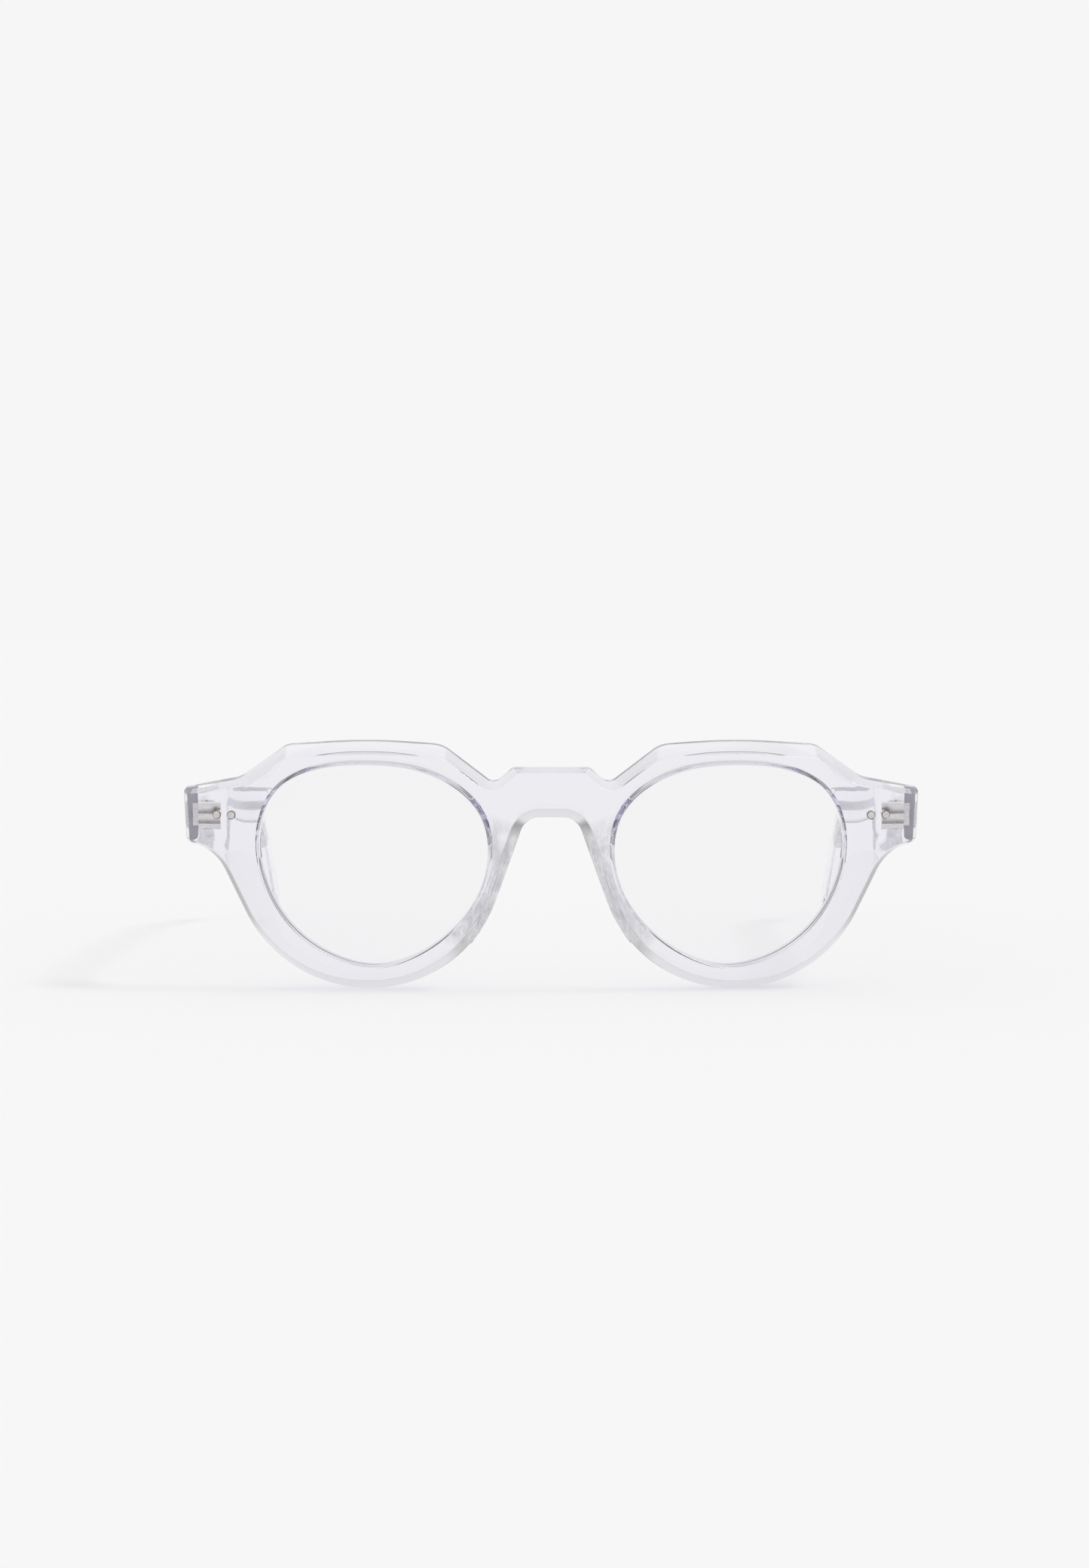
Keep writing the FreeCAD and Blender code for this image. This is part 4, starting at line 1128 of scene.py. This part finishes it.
floor_mesh = bpy.data.meshes.new("floor")
floor_mesh.from_pydata([
    (-FLOOR_SIDE, FLOOR_NEAR, 0), (FLOOR_SIDE, FLOOR_NEAR, 0),
    (FLOOR_SIDE, FLOOR_FAR, 0), (-FLOOR_SIDE, FLOOR_FAR, 0),
], [], [(0, 1, 2, 3)])
floor = new_object("floor", floor_mesh)
floor_tree = Tree(bpy.data.materials.new("pale_floor"))
floor_shader = floor_tree.add("ShaderNodeBsdfDiffuse", {"Color": (*[FLOOR_COLOUR] * 3, 1)})
dress(floor, floor_tree.surface(floor_shader["BSDF"]))

# The world is plain for the camera and for dull surfaces. What the clear pieces and the metal mirror or
# let through is a studio: a pale backdrop that is darker aside, overhead and towards the camera, a bright
# strip on each flank, a panel overhead and a lamp up on the right. It is made of soft steps along the
# ray's direction: where each step starts and ends, and the strength at both.
BACKDROP_FROM_CAMERA = (-0.25, 0.10, 0, 1)
BACKDROP_ASIDE = (0.42, 0.56, 1.0, 0.42)
BACKDROP_UPWARDS = (0.50, 0.90, 1.0, 0.80)
STRIP_SIDES = ((0.80, 0.84, 0, 1.3), (0.93, 0.97, 1, 0))
PANEL_UPWARDS = (0.76, 0.82, 0, 1.0)
PANEL_LENGTH = (0.42, 0.52, 1, 0)
LAMP_SIDES = ((0.02, 0.10, 0, 3.0), (0.78, 0.88, 1, 0))
LAMP_LENGTH = ((-0.65, -0.55, 0, 1), (0.02, 0.14, 1, 0))
LAMP_UPWARDS = (0.30, 0.45, 0, 1)
# light that has come through a piece sees these, and light that a piece mirrors sees more by the second
CAMERA_SIDE = (0.48, 0.44)
STRIP_AND_PANEL = (0.20, 0.80)

world = bpy.data.worlds.new("studio")
bpy.context.scene.world = world
sky = Tree(world, "ShaderNodeOutputWorld")
rightwards, backways, upwards = sky.add(
    "ShaderNodeSeparateXYZ", {"Vector": sky.add("ShaderNodeTexCoord")["Generated"]}
)
sideways = sky.add("ShaderNodeMath", {0: rightwards}, operation="ABSOLUTE")["Value"]
lengthways = sky.add("ShaderNodeMath", {0: backways}, operation="ABSOLUTE")["Value"]
mirrored = sky.maths("SUBTRACT", 1.0, sky.ray("Is Transmission Ray"))


def seen_by_path(level):
    """A strength for light that has come through, and more of it for mirrored light."""
    return sky.maths("ADD", sky.maths("MULTIPLY", mirrored, level[1]), level[0])


def soft(value, *steps):
    """The product of soft steps of one value."""
    return sky.maths("MULTIPLY", *[sky.step(value, *step, kind="SMOOTHSTEP") for step in steps])


near_side = seen_by_path(CAMERA_SIDE)
far_rise = sky.maths("MULTIPLY", soft(backways, BACKDROP_FROM_CAMERA), sky.maths("SUBTRACT", 1.0, near_side))
backdrop = sky.maths("MULTIPLY", sky.maths("ADD", near_side, far_rise), soft(sideways, BACKDROP_ASIDE))
backdrop = sky.maths("MULTIPLY", backdrop, soft(upwards, BACKDROP_UPWARDS))
lit = seen_by_path(STRIP_AND_PANEL)
strip = sky.maths("MULTIPLY", soft(sideways, *STRIP_SIDES), lit)
panel = sky.maths("MULTIPLY", soft(upwards, PANEL_UPWARDS), soft(lengthways, PANEL_LENGTH), lit)
# the lamp is only mirrored, which lights the creases
lamp_level = sky.maths("MULTIPLY", soft(upwards, LAMP_UPWARDS), mirrored)
lamp = sky.maths("MULTIPLY", soft(rightwards, *LAMP_SIDES), soft(backways, *LAMP_LENGTH), lamp_level)
studio = sky.add("ShaderNodeBackground", {"Strength": sky.maths("ADD", backdrop, strip, panel, lamp)})
camera_light = sky.maths("MULTIPLY", sky.ray("Is Camera Ray"), BACKGROUND - FILL)
plain = sky.add("ShaderNodeBackground", {
    "Color": (1, 1, 1, 1), "Strength": sky.maths("ADD", camera_light, FILL),
})
through = sky.maths("MAXIMUM", sky.ray("Is Glossy Ray"), sky.ray("Is Transmission Ray"))
sky.surface(sky.mix(through, plain["Background"], studio["Background"]))

SUN_STRENGTH = 0.6
SUN_SPREAD = math.radians(14)
SUN_RISE = math.radians(52)
SUN_BACK = 0.02
sun_data = bpy.data.lights.new("key", "SUN")
sun_data.energy = SUN_STRENGTH
sun_data.angle = SUN_SPREAD
sun = new_object("key", sun_data)
sun.visible_transmission = False
sun.rotation_mode = "QUATERNION"
sun.rotation_quaternion = Vector((math.cos(SUN_RISE), SUN_BACK, math.sin(SUN_RISE))).to_track_quat("Z", "Y")

# Clear plastic sends light round many times inside, and at fewer turns its thick corners go black.
LIGHT_BOUNCES = 24
for limit in ("max_bounces", "glossy_bounces", "transmission_bounces"):
    setattr(bpy.context.scene.cycles, limit, LIGHT_BOUNCES)

# Camera, fitted to the outline in the photograph: pixels are the photograph's, and places are in metres

PHOTO_LONG_SIDE = 2080
SENSOR = 36.0
FOCAL_PIXELS = 6156.0
HORIZON_ABOVE_CENTRE = 500.0
CAMERA_AT = (-0.0013, -0.9678, 0.1134)
CLIP = (0.05, 50)
cam_data = bpy.data.cameras.new("photo")
cam_data.sensor_width = SENSOR
cam_data.lens = FOCAL_PIXELS / PHOTO_LONG_SIDE * SENSOR
cam_data.clip_start, cam_data.clip_end = CLIP
cam = new_object("photo", cam_data)
pitch = math.atan(HORIZON_ABOVE_CENTRE / FOCAL_PIXELS)
cam.location = CAMERA_AT
cam.rotation_euler = (math.pi / 2 - pitch, 0, 0)
bpy.context.scene.camera = cam
bpy.context.scene.view_settings.view_transform = "Standard"
